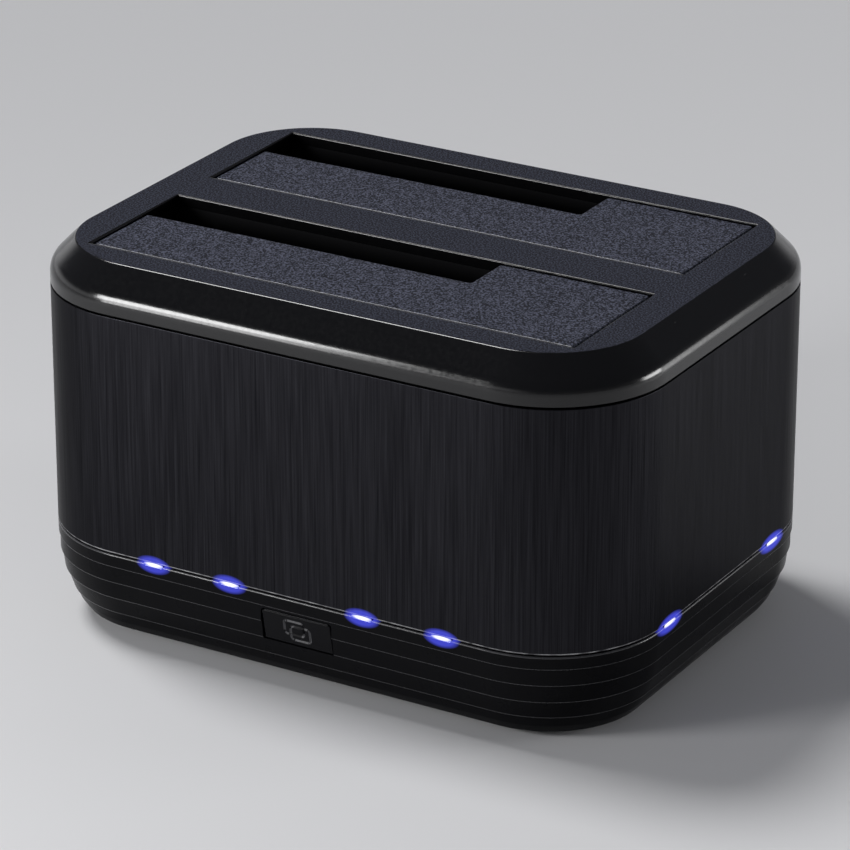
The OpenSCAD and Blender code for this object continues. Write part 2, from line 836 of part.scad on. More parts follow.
// Power jack with a round nose through the panel
module dc_jack_body() {
    color([0.04, 0.04, 0.045])
        translate([jack_x, panel_y, jack_z])
            rotate([90, 0, 0])
                difference() {
                    union() {
                        cylinder(r = jack_nose_r, h = panel_t + fit_gap);
                        translate([-jack_w / 2, -jack_h / 2, panel_t + fit_gap])
                            cube([jack_w, jack_h, jack_l]);
                    }
                    translate([0, 0, -past])
                        cylinder(r = jack_bore_r, h = jack_bore_l + past);
                }
}

// Centre pin of the power jack
module dc_jack_pin() {
    color([0.8, 0.78, 0.7])
        translate([jack_x, panel_y - jack_bore_l, jack_z])
            rotate([-90, 0, 0])
                cylinder(r = jack_pin_r, h = jack_pin_l);
}

// Housing of the power switch, snapped into the panel, with a bezel and the rocker's bearings
module power_switch_body() {
    color([0.04, 0.04, 0.045])
        translate([switch_x, panel_y, panel_mid_z])
            difference() {
                union() {
                    block([-bezel_w / 2, 0, -bezel_h / 2], [bezel_w / 2, bezel_t, bezel_h / 2]);
                    block([-switch_body_w / 2, -switch_body_l, -switch_body_h / 2],
                          [switch_body_w / 2, bezel_t / 2, switch_body_h / 2]);
                }
                block([-window_w / 2, -window_l, -window_h / 2],
                      [window_w / 2, bezel_t + past, window_h / 2]);
                translate([0, -rocker_pivot, 0])
                    cylinder(r = trunnion_r + run_gap, h = rocker_h + 2 * (trunnion_l + run_gap), center = true);
            }
}

// Solder blades of the power switch, bent up to the board
module power_switch_terminals() {
    color([0.8, 0.78, 0.7])
        for (sx = [-1, 1])
            translate([switch_x + sx * terminal_x, panel_y - switch_body_l, panel_mid_z]) {
                block([-terminal_w / 2, -terminal_back, -terminal_t / 2], [terminal_w / 2, 0, terminal_t / 2]);
                block([-terminal_w / 2, -terminal_back - terminal_t, -terminal_t / 2],
                      [terminal_w / 2, -terminal_back, board_bottom - panel_mid_z]);
            }
}

// Rocker of the power switch, resting on its left side, with a trunnion at each end
module power_rocker() {
    color([0.05, 0.05, 0.055])
        translate([switch_x, panel_y - rocker_pivot, panel_mid_z])
            rotate(rocker_tilt) {
                translate([0, 0, -rocker_h / 2])
                    linear_extrude(rocker_h)
                        polygon([[-rocker_w / 2, rocker_pivot + rocker_peak],
                                 [-rocker_w / 2 + bezel_t / 2, rocker_pivot - bezel_t],
                                 [-trunnion_r - bezel_t, -rocker_pivot + bezel_t / 2],
                                 [trunnion_r + bezel_t, -rocker_pivot + bezel_t / 2],
                                 [rocker_w / 2 - bezel_t / 2, rocker_pivot - bezel_t],
                                 [rocker_w / 2, rocker_pivot + rocker_peak],
                                 [0, rocker_pivot + rocker_dip]]);
                cylinder(r = trunnion_r, h = rocker_h + 2 * trunnion_l, center = true);
            }
}

// Side view of the button: its leaning face, and its back at the flange
button_side = [[-body_w / 2 + button_top_inset + button_lean, 0],
               [-body_w / 2 + button_top_inset, button_h],
               [flange_y, button_h],
               [flange_y, 0]];
// Front view of the button, with its top corners rounded, and grown for the hole round it
function button_face(grow) = concat(
    [[-button_w / 2 - grow, -grow], [button_w / 2 + grow, -grow]],
    [for (side = [0, 1], a = [0:arc_step:90]) let (t = a + 90 * side)
        [cos(t), sin(t)] * (button_round + grow)
            + [(1 - 2 * side) * (button_w / 2 - button_round), button_h - button_round]]);

// Push button with a leaning face, and a flange that stops it behind the base's wall
module clone_button() {
    color([0.08, 0.08, 0.09])
        translate([0, 0, foot_h + button_z]) {
            intersection() {
                translate([-button_w, 0, 0])
                    rotate([90, 0, 90])
                        linear_extrude(2 * button_w)
                            polygon(button_side);
                translate([0, flange_y + past, 0])
                    rotate([90, 0, 0])
                        linear_extrude(body_w / 2)
                            polygon(button_face(0));
            }
            block([-button_w / 2 - flange_rim, flange_y, -flange_rim],
                  [button_w / 2 + flange_rim, flange_y + flange_t, button_h + flange_rim / 2]);
        }
}

// Push switch that hangs from the board on two legs, behind the button
module clone_switch() {
    color([0.1, 0.1, 0.1])
        translate([0, switch_front, button_mid_z])
            difference() {
                union() {
                    block([-switch_w / 2, 0, -switch_w / 2], [switch_w / 2, switch_d, switch_w / 2]);
                    for (sx = [-1, 1])
                        translate([sx * (switch_w / 2 - switch_leg_w / 2), 0, 0])
                            block([-switch_leg_w / 2, 0, 0],
                                  [switch_leg_w / 2, switch_d, board_bottom - button_mid_z]);
                }
                translate([0, -past, 0])
                    rotate([-90, 0, 0])
                        cylinder(r = plunger_r + run_gap, h = past + plunger_in + button_travel + 2 * run_gap);
            }
}

// Plunger of the push switch, which rests on the button's back
module clone_switch_plunger() {
    color([0.75, 0.75, 0.72])
        translate([0, flange_y + flange_t, button_mid_z])
            rotate([-90, 0, 0])
                cylinder(r = plunger_r, h = plunger_l);
}

// Clear bars that carry light from the board to the front windows
module front_light_guides() {
    color([0.75, 0.82, 1])
        at_front_lamps()
            lamp_bar(0, 0, board_inset - led_gap);
}

// Clear bars that carry light from the board to the end windows
module side_light_guides() {
    color([0.75, 0.82, 1])
        at_side_lamps()
            lamp_bar(0, 0, board_inset - led_gap);
}

// Light sources along the board's edges, one behind each guide
module status_leds() {
    color([0.95, 0.95, 0.85]) {
        at_front_lamps()
            block([-led_l / 2, board_inset, -led_h / 2], [led_l / 2, board_inset + led_d, led_h / 2]);
        at_side_lamps()
            block([-led_l / 2, board_inset, -led_h / 2], [led_l / 2, board_inset + led_d, led_h / 2]);
    }
}

// Places of the parts under the board, with each chip's width, and the parts' sizes
chip_places = [[-12, -10, 10], [14, -12, 8]];
chip_h = 1.2;
chip_mark_r = 0.5;
chip_mark_in = 1.5;
chip_mark_depth = 0.3;
can_places = [[22, 14], [30, 14], [-34, 4], [38, -8]];
can_r = 3.15;
can_h = 8;
can_groove = 0.25;
can_groove_z = 5.6;
coil_places = [[-30, 20], [34, 26]];
coil_l = 7;
coil_h = 4;
coil_sides = 8;

// Bridge chips under the board
module bridge_chips() {
    color([0.05, 0.05, 0.05])
        for (c = chip_places)
            translate([c[0], c[1], board_bottom - chip_h])
                difference() {
                    block([-c[2] / 2, -c[2] / 2, 0], [c[2] / 2, c[2] / 2, chip_h]);
                    translate([-c[2] / 2 + chip_mark_in, c[2] / 2 - chip_mark_in, -past])
                        cylinder(r = chip_mark_r, h = past + chip_mark_depth);
                }
}

// Electrolytic cans under the board, each with its crimped groove
module capacitors() {
    color([0.35, 0.36, 0.4])
        for (c = can_places)
            translate([c[0], c[1], board_bottom - can_h])
                rotate_extrude()
                    polygon([[0, 0], [can_r, 0], [can_r, can_groove_z],
                             [can_r - can_groove, can_groove_z + can_groove],
                             [can_r, can_groove_z + 2 * can_groove], [can_r, can_h], [0, can_h]]);
}

// Shielded inductors under the board, with chamfered corners
module power_inductors() {
    color([0.2, 0.2, 0.21])
        for (c = coil_places)
            translate([c[0], c[1], board_bottom - coil_h])
                rotate(180 / coil_sides)
                    cylinder(r = coil_l / 2 / cos(180 / coil_sides), h = coil_h, $fn = coil_sides);
}

// Plan of a bay door: the whole bay less the open slot at its rear left
door_half = bay_l / 2 - door_gap;
slot_end = slot_l - bay_l / 2;
door_plan = [[-door_half, hinge_edge_gap],
             [door_half, hinge_edge_gap],
             [door_half, bay_d - door_gap],
             [slot_end, bay_d - door_gap],
             [slot_end, bay_d - slot_d],
             [-door_half, bay_d - slot_d]];
// Side view of a hinge arm, from the hinge axis to the door's underside
door_under = z_door - door_t - z_hinge;
arm_side = [[0, -knuckle_r + run_gap],
            [arm_reach, door_under - arm_tip],
            [arm_reach, door_under + door_t / 2],
            [hinge_fwd + hinge_edge_gap, door_under + door_t / 2],
            [hinge_fwd + hinge_edge_gap, knuckle_r - run_gap],
            [0, knuckle_r - run_gap]];

// L-shaped sprung door with two hinge arms and two stop tabs
module bay_door(rear) {
    color([0.16, 0.17, 0.2])
        translate([0, bay_front(rear), 0])
            difference() {
                union() {
                    translate([0, 0, z_door - door_t])
                        linear_extrude(door_t)
                            polygon(door_plan);
                    for (sx = [-1, 1]) {
                        translate([sx * knuckle_x, -hinge_fwd, z_hinge]) {
                            x_rod(knuckle_r, knuckle_w);
                            translate([-knuckle_w / 2, 0, 0])
                                rotate([90, 0, 90])
                                    linear_extrude(knuckle_w)
                                        polygon(arm_side);
                        }
                        stop_tab(sx);
                    }
                }
                translate([0, -hinge_fwd, z_hinge])
                    x_rod(rod_r + run_gap, bay_l);
            }
}

// Tab at one end of a door that reaches under the cap's plate
module stop_tab(sx) {
    y = bay_d - slot_d - stop_w - door_gap;
    z = z_plate - stop_gap;
    inner = door_half - stop_hold;
    outer = bay_l / 2 + stop_reach;
    block([sx > 0 ? inner : -outer, y, z - stop_t], [sx > 0 ? outer : -inner, y + stop_w, z]);
    block([sx > 0 ? inner : -door_half, y, z - stop_t],
          [sx > 0 ? door_half : -inner, y + stop_w, z_door - door_t / 2]);
}

// Steel rod on which a bay door turns
module hinge_rod(rear) {
    color([0.7, 0.7, 0.72])
        translate([0, bay_front(rear) - hinge_fwd, z_hinge])
            x_rod(rod_r, 2 * ear_x + ear_w);
}

// Path of a door's torsion spring from the hinge axis: a leg up to the plate, the coil, a leg under the door
spring_from = 180;
spring_sweep = 360 * spring_turns + spring_leg_angle - spring_from;
spring_count = round(spring_sweep / 360 * spring_steps);
spring_coil = [for (i = [0:spring_count]) let (a = spring_sweep * i / spring_count)
    [spring_pitch * a / 360, spring_coil_r * cos(spring_from + a), spring_coil_r * sin(spring_from + a)]];
coil_end = spring_coil[spring_count];
leg_l = (door_under - spring_wire_r - spring_leg_gap - coil_end[2]) / cos(spring_leg_angle);
spring_path = concat(
    [[0, -spring_coil_r, hinge_drop - spring_leg_gap]],
    spring_coil,
    [coil_end + leg_l * [0, -sin(spring_leg_angle), cos(spring_leg_angle)]]);
// Least gap between neighbouring turns, measured on the path's points
spring_gap = min([for (i = [0:spring_count - spring_steps - 1], j = [i + spring_steps - 1:i + spring_steps + 1])
    norm(spring_coil[j] - spring_coil[i])]) - 2 * spring_wire_r;
echo("door spring, least gap to itself in mm", spring_gap);

function unit(v) = v / norm(v);
// Direction of a path at one of its points
function along(path, i) = unit(path[min(i + 1, len(path) - 1)] - path[max(i - 1, 0)]);
// Ring of points round a path that winds about X
function ring(path, i, r, sides) = let (t = along(path, i), n = unit(cross(t, [1, 0, 0])), b = cross(t, n))
    [for (k = [0:sides - 1]) path[i] + r * (cos(360 * k / sides) * n + sin(360 * k / sides) * b)];

// Round wire along a path that winds about X
module wire(path, r, sides) {
    last = len(path) - 1;
    points = [for (i = [0:last]) each ring(path, i, r, sides)];
    walls = [for (i = [0:last - 1], k = [0:sides - 1])
        let (a = i * sides + k, b = i * sides + (k + 1) % sides)
            each [[a, a + sides, b + sides], [a, b + sides, b]]];
    ends = [for (k = [1:sides - 2]) each [[0, k, k + 1],
        [last * sides, last * sides + k + 1, last * sides + k]]];
    polyhedron(points, concat(walls, ends));
}

// Torsion spring wound round a hinge rod
module door_spring(rear) {
    color([0.75, 0.75, 0.76])
        translate([spring_x, bay_front(rear) - hinge_fwd, z_hinge])
            wire(spring_path, spring_wire_r, spring_sides);
}

top_cover();
aluminium_sleeve();
drive_cradle();
base_tray();
rubber_feet();
case_screws();
cradle_screws();
main_board();
board_screws();
sata_socket(false);  // front_sata_socket
sata_socket(true);  // rear_sata_socket
sata_contacts(false);  // front_sata_contacts
sata_contacts(true);  // rear_sata_contacts
usb_port_shell();
usb_port_tongue();
dc_jack_body();
dc_jack_pin();
power_switch_body();
power_switch_terminals();
power_rocker();
clone_button();
clone_switch();
clone_switch_plunger();
front_light_guides();
side_light_guides();
status_leds();
bridge_chips();
capacitors();
power_inductors();
bay_door(false);  // front_bay_door
bay_door(true);  // rear_bay_door
hinge_rod(false);  // front_hinge_rod
hinge_rod(true);  // rear_hinge_rod
door_spring(false);  // front_door_spring
door_spring(true);  // rear_door_spring
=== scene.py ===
import math

import bmesh
import bpy
from mathutils import Matrix, Vector


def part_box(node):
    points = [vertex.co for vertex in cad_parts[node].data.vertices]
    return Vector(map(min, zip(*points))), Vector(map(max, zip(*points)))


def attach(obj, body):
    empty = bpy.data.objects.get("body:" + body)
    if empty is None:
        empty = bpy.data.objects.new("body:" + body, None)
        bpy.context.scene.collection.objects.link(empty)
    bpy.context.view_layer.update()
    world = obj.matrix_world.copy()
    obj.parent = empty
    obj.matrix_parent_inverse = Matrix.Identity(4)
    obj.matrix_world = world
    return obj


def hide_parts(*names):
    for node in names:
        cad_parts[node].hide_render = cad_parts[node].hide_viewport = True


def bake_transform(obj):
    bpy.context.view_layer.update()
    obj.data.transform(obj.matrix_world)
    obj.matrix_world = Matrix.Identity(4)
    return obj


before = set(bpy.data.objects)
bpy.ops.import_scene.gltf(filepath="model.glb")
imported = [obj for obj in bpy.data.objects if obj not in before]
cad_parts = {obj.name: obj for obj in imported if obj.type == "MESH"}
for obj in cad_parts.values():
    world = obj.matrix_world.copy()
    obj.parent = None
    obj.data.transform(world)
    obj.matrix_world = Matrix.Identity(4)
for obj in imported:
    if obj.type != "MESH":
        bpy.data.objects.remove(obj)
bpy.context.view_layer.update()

# Base tray: the black moulded foot of the dock, drawn in towards the bottom in five shingled bands.
# Injection moulded in satin plastic, with a recess for the ports at the back. Its lip locates the
# sleeve, and four long screws from below hold it to the drive cradle.
mm = 0.001
sleeve_lo, sleeve_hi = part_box("aluminium_sleeve")
base_lo, base_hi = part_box("base_tray")
half_l, half_w = sleeve_hi.x, sleeve_hi.y
corner_r = 23.5 * mm
corner_steps = 24
seam_gap = 0.35 * mm
lower_seam = sleeve_lo.z - seam_gap
underside = base_lo.z
base_h = lower_seam - underside
base_taper = 5 * mm
taper_power = 2.7
bands = 5
band_ease = 1.06
top_band_h = 2.7 * mm
step_depth = 0.3 * mm
lip_round = 0.2 * mm
rim_round = 0.35 * mm
base_wall = 2.25 * mm
floor_t = 2 * mm
lip_inset = 1.4 * mm
bottom_start, bottom_steps = 4, 12
lip_steps, rim_steps = 4, 5
round_segments = 48
past = 1 * mm
merge_dist = 0.001 * mm


def arc(centre, radius, start, end, steps):
    """Points of an arc in a profile, with its angles in degrees."""
    turns = [math.radians(start + (end - start) * i / steps) for i in range(steps + 1)]
    return [(centre[0] + radius * math.cos(a), centre[1] + radius * math.sin(a)) for a in turns]


def new_verts(result):
    """Vertices among what an operator made."""
    return [g for g in result["geom"] if isinstance(g, bmesh.types.BMVert)]


def edges_among(verts):
    """Edges that join the given vertices only to each other."""
    chosen = set(verts)
    return list({e for v in verts for e in v.link_edges if chosen.issuperset(e.verts)})


def carried_round(bm, profile, closed):
    """Carries a profile of (inset, height) points once round the body's rounded outline."""
    mid_x, mid_y = half_l - corner_r, half_w - corner_r
    verts = [bm.verts.new((half_l - inset, -mid_y, z)) for inset, z in profile]
    for a, b in zip(verts, verts[1:] + verts[:closed]):
        bm.edges.new((a, b))
    for side, (sx, sy) in enumerate(((1, 1), (-1, 1), (-1, -1), (1, -1))):
        run = Vector((0, 2 * (mid_x if side % 2 else mid_y), 0))
        verts = new_verts(bmesh.ops.extrude_edge_only(bm, edges=edges_among(verts)))
        bmesh.ops.translate(bm, verts=verts, vec=Matrix.Rotation(side * math.pi / 2, 3, "Z") @ run)
        turned = bmesh.ops.spin(bm, geom=verts + edges_among(verts), cent=(sx * mid_x, sy * mid_y, 0),
                                axis=(0, 0, 1), angle=math.pi / 2, steps=corner_steps, use_duplicate=False)
        verts = new_verts({"geom": turned["geom_last"]})
    bmesh.ops.remove_doubles(bm, verts=bm.verts, dist=merge_dist)


def add_block(bm, lo, hi):
    """Adds a box between two corners."""
    lo, hi = Vector(lo), Vector(hi)
    place = Matrix.Translation((lo + hi) / 2) @ Matrix.Diagonal((*(hi - lo), 1))
    return bmesh.ops.create_cube(bm, size=1, matrix=place)["verts"]


def add_rod(bm, start, end, radius):
    """Adds a round bar between two points."""
    start, end = Vector(start), Vector(end)
    turn = (end - start).to_track_quat("Z", "Y").to_matrix().to_4x4()
    bmesh.ops.create_cone(bm, cap_ends=True, segments=round_segments, radius1=radius,
                          radius2=radius, depth=(end - start).length,
                          matrix=Matrix.Translation((start + end) / 2) @ turn)


def add_prism(bm, outline, run):
    """Adds a flat outline drawn out along a vector, and gives the vertices of its far end."""
    end = bm.faces.new([bm.verts.new(p) for p in outline])
    far = new_verts(bmesh.ops.extrude_face_region(bm, geom=[end]))
    bmesh.ops.translate(bm, verts=far, vec=run)
    return far


def as_object(bm, name):
    """Ends a bmesh as a named object with outward faces."""
    bmesh.ops.recalc_face_normals(bm, faces=bm.faces)
    mesh = bpy.data.meshes.new(name)
    bm.to_mesh(mesh)
    bm.free()
    piece = bpy.data.objects.new(name, mesh)
    bpy.context.scene.collection.objects.link(piece)
    return piece


def carve(piece, operation, tool_bm):
    """Joins a tool to a piece or cuts it away, and keeps the result as the piece's own mesh."""
    tool = as_object(tool_bm, "tool")
    step = piece.modifiers.new("carve", "BOOLEAN")
    step.operation = operation
    step.solver = "EXACT"
    step.use_self = True
    step.object = tool
    made = piece.evaluated_get(bpy.context.evaluated_depsgraph_get())
    carved = bpy.data.meshes.new_from_object(made)
    piece.modifiers.clear()
    piece.data = carved
    bpy.data.objects.remove(tool)


def shade(piece, *finishes, angle=35):
    """Shades curves smooth beside flat faces, and gives the piece its finishes."""
    piece.data.shade_smooth()
    piece.data.set_sharp_from_angle(angle=math.radians(angle))
    piece.modifiers.new("flat faces", "WEIGHTED_NORMAL").keep_sharp = True
    piece.data.materials.clear()
    for finish in finishes:
        piece.data.materials.append(finish)


def four_centres(node, radius):
    """Middles of four like round pieces that share a node, one at each corner."""
    lo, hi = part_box(node)
    return [(x, y) for x in (lo.x + radius, hi.x - radius) for y in (lo.y + radius, hi.y - radius)]


def band_edge(i):
    return (base_h - top_band_h) * (1 - ((i - 1) / (bands - 1)) ** band_ease)


def taper_at(z):
    return base_taper * (1 - z / base_h) ** taper_power


def inner_at(z):
    return taper_at(z) + step_depth + base_wall


last_band = band_edge(bands - 1)
lip_top = base_hi.z - underside
base_profile = [(inner_at(z), z) for z in [floor_t] + [band_edge(i) for i in range(bands - 1, 0, -1)]]
base_profile += [(step_depth + base_wall, base_h), (step_depth + base_wall, lip_top), (lip_inset, lip_top)]
base_profile += [(lip_inset, base_h)] + arc((rim_round, base_h - rim_round), rim_round, 90, 180, rim_steps)
for i in range(1, bands):
    z = band_edge(i)
    base_profile += arc((taper_at(z) + lip_round, z + lip_round), lip_round, 180, 270, lip_steps)
    base_profile += [(taper_at(z) + step_depth, z)]
for i in range(bottom_start, bottom_steps + 1):
    z = last_band * (1 - math.sin(math.pi / 2 * i / bottom_steps))
    base_profile += [(taper_at(z), z)]
bm = bmesh.new()
carried_round(bm, [(inset, underside + z) for inset, z in base_profile], closed=False)
bmesh.ops.holes_fill(bm, edges=[e for e in bm.edges if e.is_boundary], sides=0)
base = as_object(bm, "base_shell")

# Inside the base: the screw posts, the pad behind the button and the block behind the port recess
post_r, post_h = 3 * mm, 8 * mm
screw_head_r, screw_head_h = 2.4 * mm, 1.8 * mm
screw_well_r = 2.65 * mm
post_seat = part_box("case_screws")[0].z + screw_head_h
post_top = post_seat + post_h
panel_w = 66 * mm
panel_cheek = 2 * mm
panel_t = 2 * mm
panel_recess = 3.6 * mm
panel_sill, panel_head = 3.5 * mm, 1.6 * mm
panel_y = half_w - panel_recess
panel_low = underside + panel_sill
panel_high = lower_seam - panel_head
button_lo, button_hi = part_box("clone_button")
flange_t = 0.9 * mm
pad_rim = 1.8 * mm
pad_t = 2 * mm
flange_gap = 0.1 * mm
pad_back = button_hi.y - flange_t - flange_gap
bm = bmesh.new()
for x, y in four_centres("case_screws", screw_head_r):
    add_rod(bm, (x, y, underside + floor_t / 2), (x, y, post_top), post_r)
block_levels = (0.98, 0.7, 0.45, 0.28, 0.15)
block_side = [(panel_y - panel_t, panel_low - past), (panel_y - panel_t, lower_seam - past / 4)]
block_side += [(half_w - taper_at(base_h * share) - 2 * step_depth, underside + base_h * share)
               for share in block_levels]
block_half = panel_w / 2 + panel_cheek
add_prism(bm, [(-block_half, y, z) for y, z in block_side], (2 * block_half, 0, 0))
add_block(bm, (button_lo.x - pad_rim, pad_back - pad_t, button_lo.z),
          (button_hi.x + pad_rim, pad_back, lower_seam - past / 4))
carve(base, "UNION", bm)

# Openings of the base: the port recess, the wells of the screws and feet, the ports and the button's hole
foot_r = 5 * mm
fit_gap = 0.15 * mm
port_gap = 0.25 * mm
usb_lo, usb_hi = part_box("usb_port_shell")
jack_lo, jack_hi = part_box("dc_jack_body")
switch_lo, switch_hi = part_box("power_switch_body")
jack_x = (jack_lo.x + jack_hi.x) / 2
jack_z = (jack_lo.z + jack_hi.z) / 2
jack_nose_r = 4.3 * mm
bezel_rim = 0.85 * mm
usb_x = (usb_lo.x + usb_hi.x) / 2
usb_half_w = (usb_hi.x - usb_lo.x) / 2
usb_low_half_w = 3.35 * mm
usb_low_h = 2.9 * mm
usb_chamfer_h = 2 * mm
flange_rim = 1.4 * mm
button_face_w = button_hi.x - button_lo.x - 2 * flange_rim
button_z = button_lo.z + flange_rim
button_face_h = button_hi.z - flange_rim / 2 - button_z
button_round = 0.6 * mm
button_gap = 0.25 * mm
lamp_l, lamp_h = 4.4 * mm, 0.9 * mm
lamp_depth = 4 * mm
lamp_inner_x = 14.5 * mm
lamp_segments = 24
window_gap = 0.03 * mm


def usb_outline(y, grow):
    """Outline of the data port: square above, drawn in below."""
    half, low_half, shoulder = usb_half_w + grow, usb_low_half_w + grow, usb_lo.z + usb_low_h
    right = [(half, usb_hi.z + grow), (half, shoulder + usb_chamfer_h)]
    right += [(low_half, shoulder), (low_half, usb_lo.z - grow)]
    return [(usb_x + x, y, z) for x, z in right] + [(usb_x - x, y, z) for x, z in reversed(right)]


def button_outline(y, grow):
    """Front view of the button, with its top corners rounded."""
    half, top = button_face_w / 2 - button_round, button_z + button_face_h - button_round
    right = [(button_face_w / 2 + grow, button_z - grow)] + arc((half, top), button_round + grow, 0, 90, 6)
    return [(x, y, z) for x, z in right] + [(-x, y, z) for x, z in reversed(right)]


def lamp_places():
    """Places of the lamps on the lower seam, each with its turn about the upright axis."""
    front_hi, side_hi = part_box("front_light_guides")[1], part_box("side_light_guides")[1]
    outer, inner, side = front_hi.x - lamp_l / 2, lamp_inner_x, side_hi.y - lamp_l / 2
    places = [((x, -half_w, lower_seam), 0) for x in (-outer, -inner, inner, outer)]
    return places + [((sx * half_l, y, lower_seam), sx * math.pi / 2)
                     for sx in (-1, 1) for y in (-side, side)]


def add_lamp_bar(bm, place, turn, grow, depth, proud):
    """Adds a flat bar with round ends that runs inwards from a lamp's place on the wall."""
    verts = bmesh.ops.create_circle(bm, cap_ends=True, segments=lamp_segments, radius=lamp_h / 2 + grow,
                                    matrix=Matrix.Rotation(math.pi / lamp_segments, 4, "Z"))["verts"]
    for v in verts:
        v.co.x += math.copysign((lamp_l - lamp_h) / 2, v.co.x)
    stand = Matrix.Translation(place) @ Matrix.Rotation(turn, 4, "Z") @ Matrix.Rotation(math.pi / 2, 4, "X")
    bmesh.ops.transform(bm, verts=verts, matrix=stand @ Matrix.Translation((0, 0, proud)))
    inwards = Matrix.Rotation(turn, 3, "Z") @ Vector((0, proud + depth, 0))
    front = verts[0].link_faces[0]
    back = new_verts(bmesh.ops.extrude_face_region(bm, geom=[front], use_keep_orig=True))
    bmesh.ops.translate(bm, verts=back, vec=inwards)
    return front


bm = bmesh.new()
add_block(bm, (-panel_w / 2, panel_y, panel_low), (panel_w / 2, half_w + past, panel_high))
carve(base, "DIFFERENCE", bm)
bm = bmesh.new()
for x, y in four_centres("case_screws", screw_head_r):
    add_rod(bm, (x, y, underside - past), (x, y, post_seat), screw_well_r)
for x, y in four_centres("rubber_feet", foot_r):
    add_rod(bm, (x, y, underside - past), (x, y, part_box("rubber_feet")[1].z), foot_r + fit_gap)
carve(base, "DIFFERENCE", bm)
bm = bmesh.new()
add_rod(bm, (jack_x, panel_y - 2 * panel_t, jack_z), (jack_x, panel_y + past, jack_z),
        jack_nose_r + port_gap)
add_block(bm, (switch_lo.x + bezel_rim, panel_y - 2 * panel_t, switch_lo.z + bezel_rim),
          (switch_hi.x - bezel_rim, panel_y + past, switch_hi.z - bezel_rim))
add_prism(bm, usb_outline(panel_y - 2 * panel_t, port_gap), (0, 2 * panel_t + past, 0))
add_prism(bm, button_outline(-half_w - past, button_gap), (0, pad_back + half_w + 2 * past, 0))
carve(base, "DIFFERENCE", bm)
bm = bmesh.new()
for place, turn in lamp_places():
    add_lamp_bar(bm, place, turn, window_gap, lamp_depth, past)
carve(base, "DIFFERENCE", bm)


def new_finish(name, colour, roughness, values={}):
    """Starts a material on one shader, with its constants on the shader's own sockets."""
    finish = bpy.data.materials.new(name)
    finish.use_nodes = True
    shader = finish.node_tree.nodes["Principled BSDF"]
    shader.inputs["Base Color"].default_value = (*colour, 1)
    shader.inputs["Roughness"].default_value = roughness
    for socket, value in values.items():
        shader.inputs[socket].default_value = value
    return finish


def add_node(finish, kind, inputs, **settings):
    """Adds a node, links or sets its inputs, and gives its first output."""
    node = finish.node_tree.nodes.new("ShaderNode" + kind)
    for name, value in settings.items():
        setattr(node, name, value)
    for socket, value in inputs.items():
        if isinstance(value, bpy.types.NodeSocket):
            finish.node_tree.links.new(value, node.inputs[socket])
        else:
            node.inputs[socket].default_value = value
    return node.outputs[0]


def feed(finish, socket, value):
    """Links a value to one of the shader's sockets."""
    finish.node_tree.links.new(value, finish.node_tree.nodes["Principled BSDF"].inputs[socket])


def noise(finish, size, stretch=(1, 1, 1), detail=2):
    """Noise fixed to the piece, with grains of about the given size."""
    coords = finish.node_tree.nodes.new("ShaderNodeTexCoord").outputs["Object"]
    place = add_node(finish, "Mapping", {"Vector": coords, "Scale": stretch})
    return add_node(finish, "TexNoise", {"Vector": place, "Scale": 1 / size, "Detail": detail})


def between(finish, factor, low, high, start=0.3, end=0.7):
    """Turns a factor into a value between two ends."""
    return add_node(finish, "MapRange", {"Value": factor, "From Min": start, "From Max": end,
                                         "To Min": low, "To Max": high})


def tint(finish, factor, dark, pale):
    """Colours the shader between a dark and a pale colour."""
    mixed = finish.node_tree.nodes.new("ShaderNodeMix")
    mixed.data_type = "RGBA"
    finish.node_tree.links.new(factor, mixed.inputs["Factor"])
    mixed.inputs[6].default_value = (*dark, 1)
    mixed.inputs[7].default_value = (*pale, 1)
    feed(finish, "Base Color", mixed.outputs[2])


def relief(finish, height, depth):
    """Raises the surface by a height pattern."""
    feed(finish, "Normal", add_node(finish, "Bump", {"Height": height, "Distance": depth, "Strength": 1}))


# Painted glow: a blue halo that the walls round each lamp window emit themselves, placed by its position on
# the wall.
halo_half_l, halo_half_h = 3.7 * mm, 1.8 * mm
painted_halo_blue = (0.05, 0.06, 0.58)
halo_full, halo_out = 0.5, 1.15
end_squeeze = 0.76
glow_depth = 1 * mm


def lamp_distance(finish, half_long, half_high):
    """Squared distance from the nearest lamp on a front or end wall, in half sizes of an ellipse."""
    def calc(operation, a, b=0.0):
        return add_node(finish, "Math", {0: a, 1: b}, operation=operation)

    spots = lamp_places()
    outer, inner, side = spots[3][0][0], spots[2][0][0], spots[5][0][1]
    coords = finish.node_tree.nodes.new("ShaderNodeTexCoord").outputs["Object"]
    split = finish.node_tree.nodes.new("ShaderNodeSeparateXYZ")
    finish.node_tree.links.new(coords, split.inputs[0])
    x, y, z = split.outputs
    along_x = calc("MINIMUM", calc("ABSOLUTE", calc("SUBTRACT", calc("ABSOLUTE", x), outer)),
                   calc("ABSOLUTE", calc("SUBTRACT", calc("ABSOLUTE", x), inner)))
    along_y = calc("MULTIPLY", calc("ABSOLUTE", calc("SUBTRACT", calc("ABSOLUTE", y), side)), end_squeeze)
    off_front = calc("MULTIPLY", calc("GREATER_THAN", y, -half_w + glow_depth), half_l)
    off_end = calc("MULTIPLY", calc("LESS_THAN", calc("ABSOLUTE", x), half_l - glow_depth), half_l)
    along = calc("MINIMUM", calc("ADD", along_x, off_front), calc("ADD", along_y, off_end))
    up = calc("DIVIDE", calc("SUBTRACT", z, lower_seam), half_high)
    along = calc("DIVIDE", along, half_long)
    return calc("ADD", calc("MULTIPLY", along, along), calc("MULTIPLY", up, up))


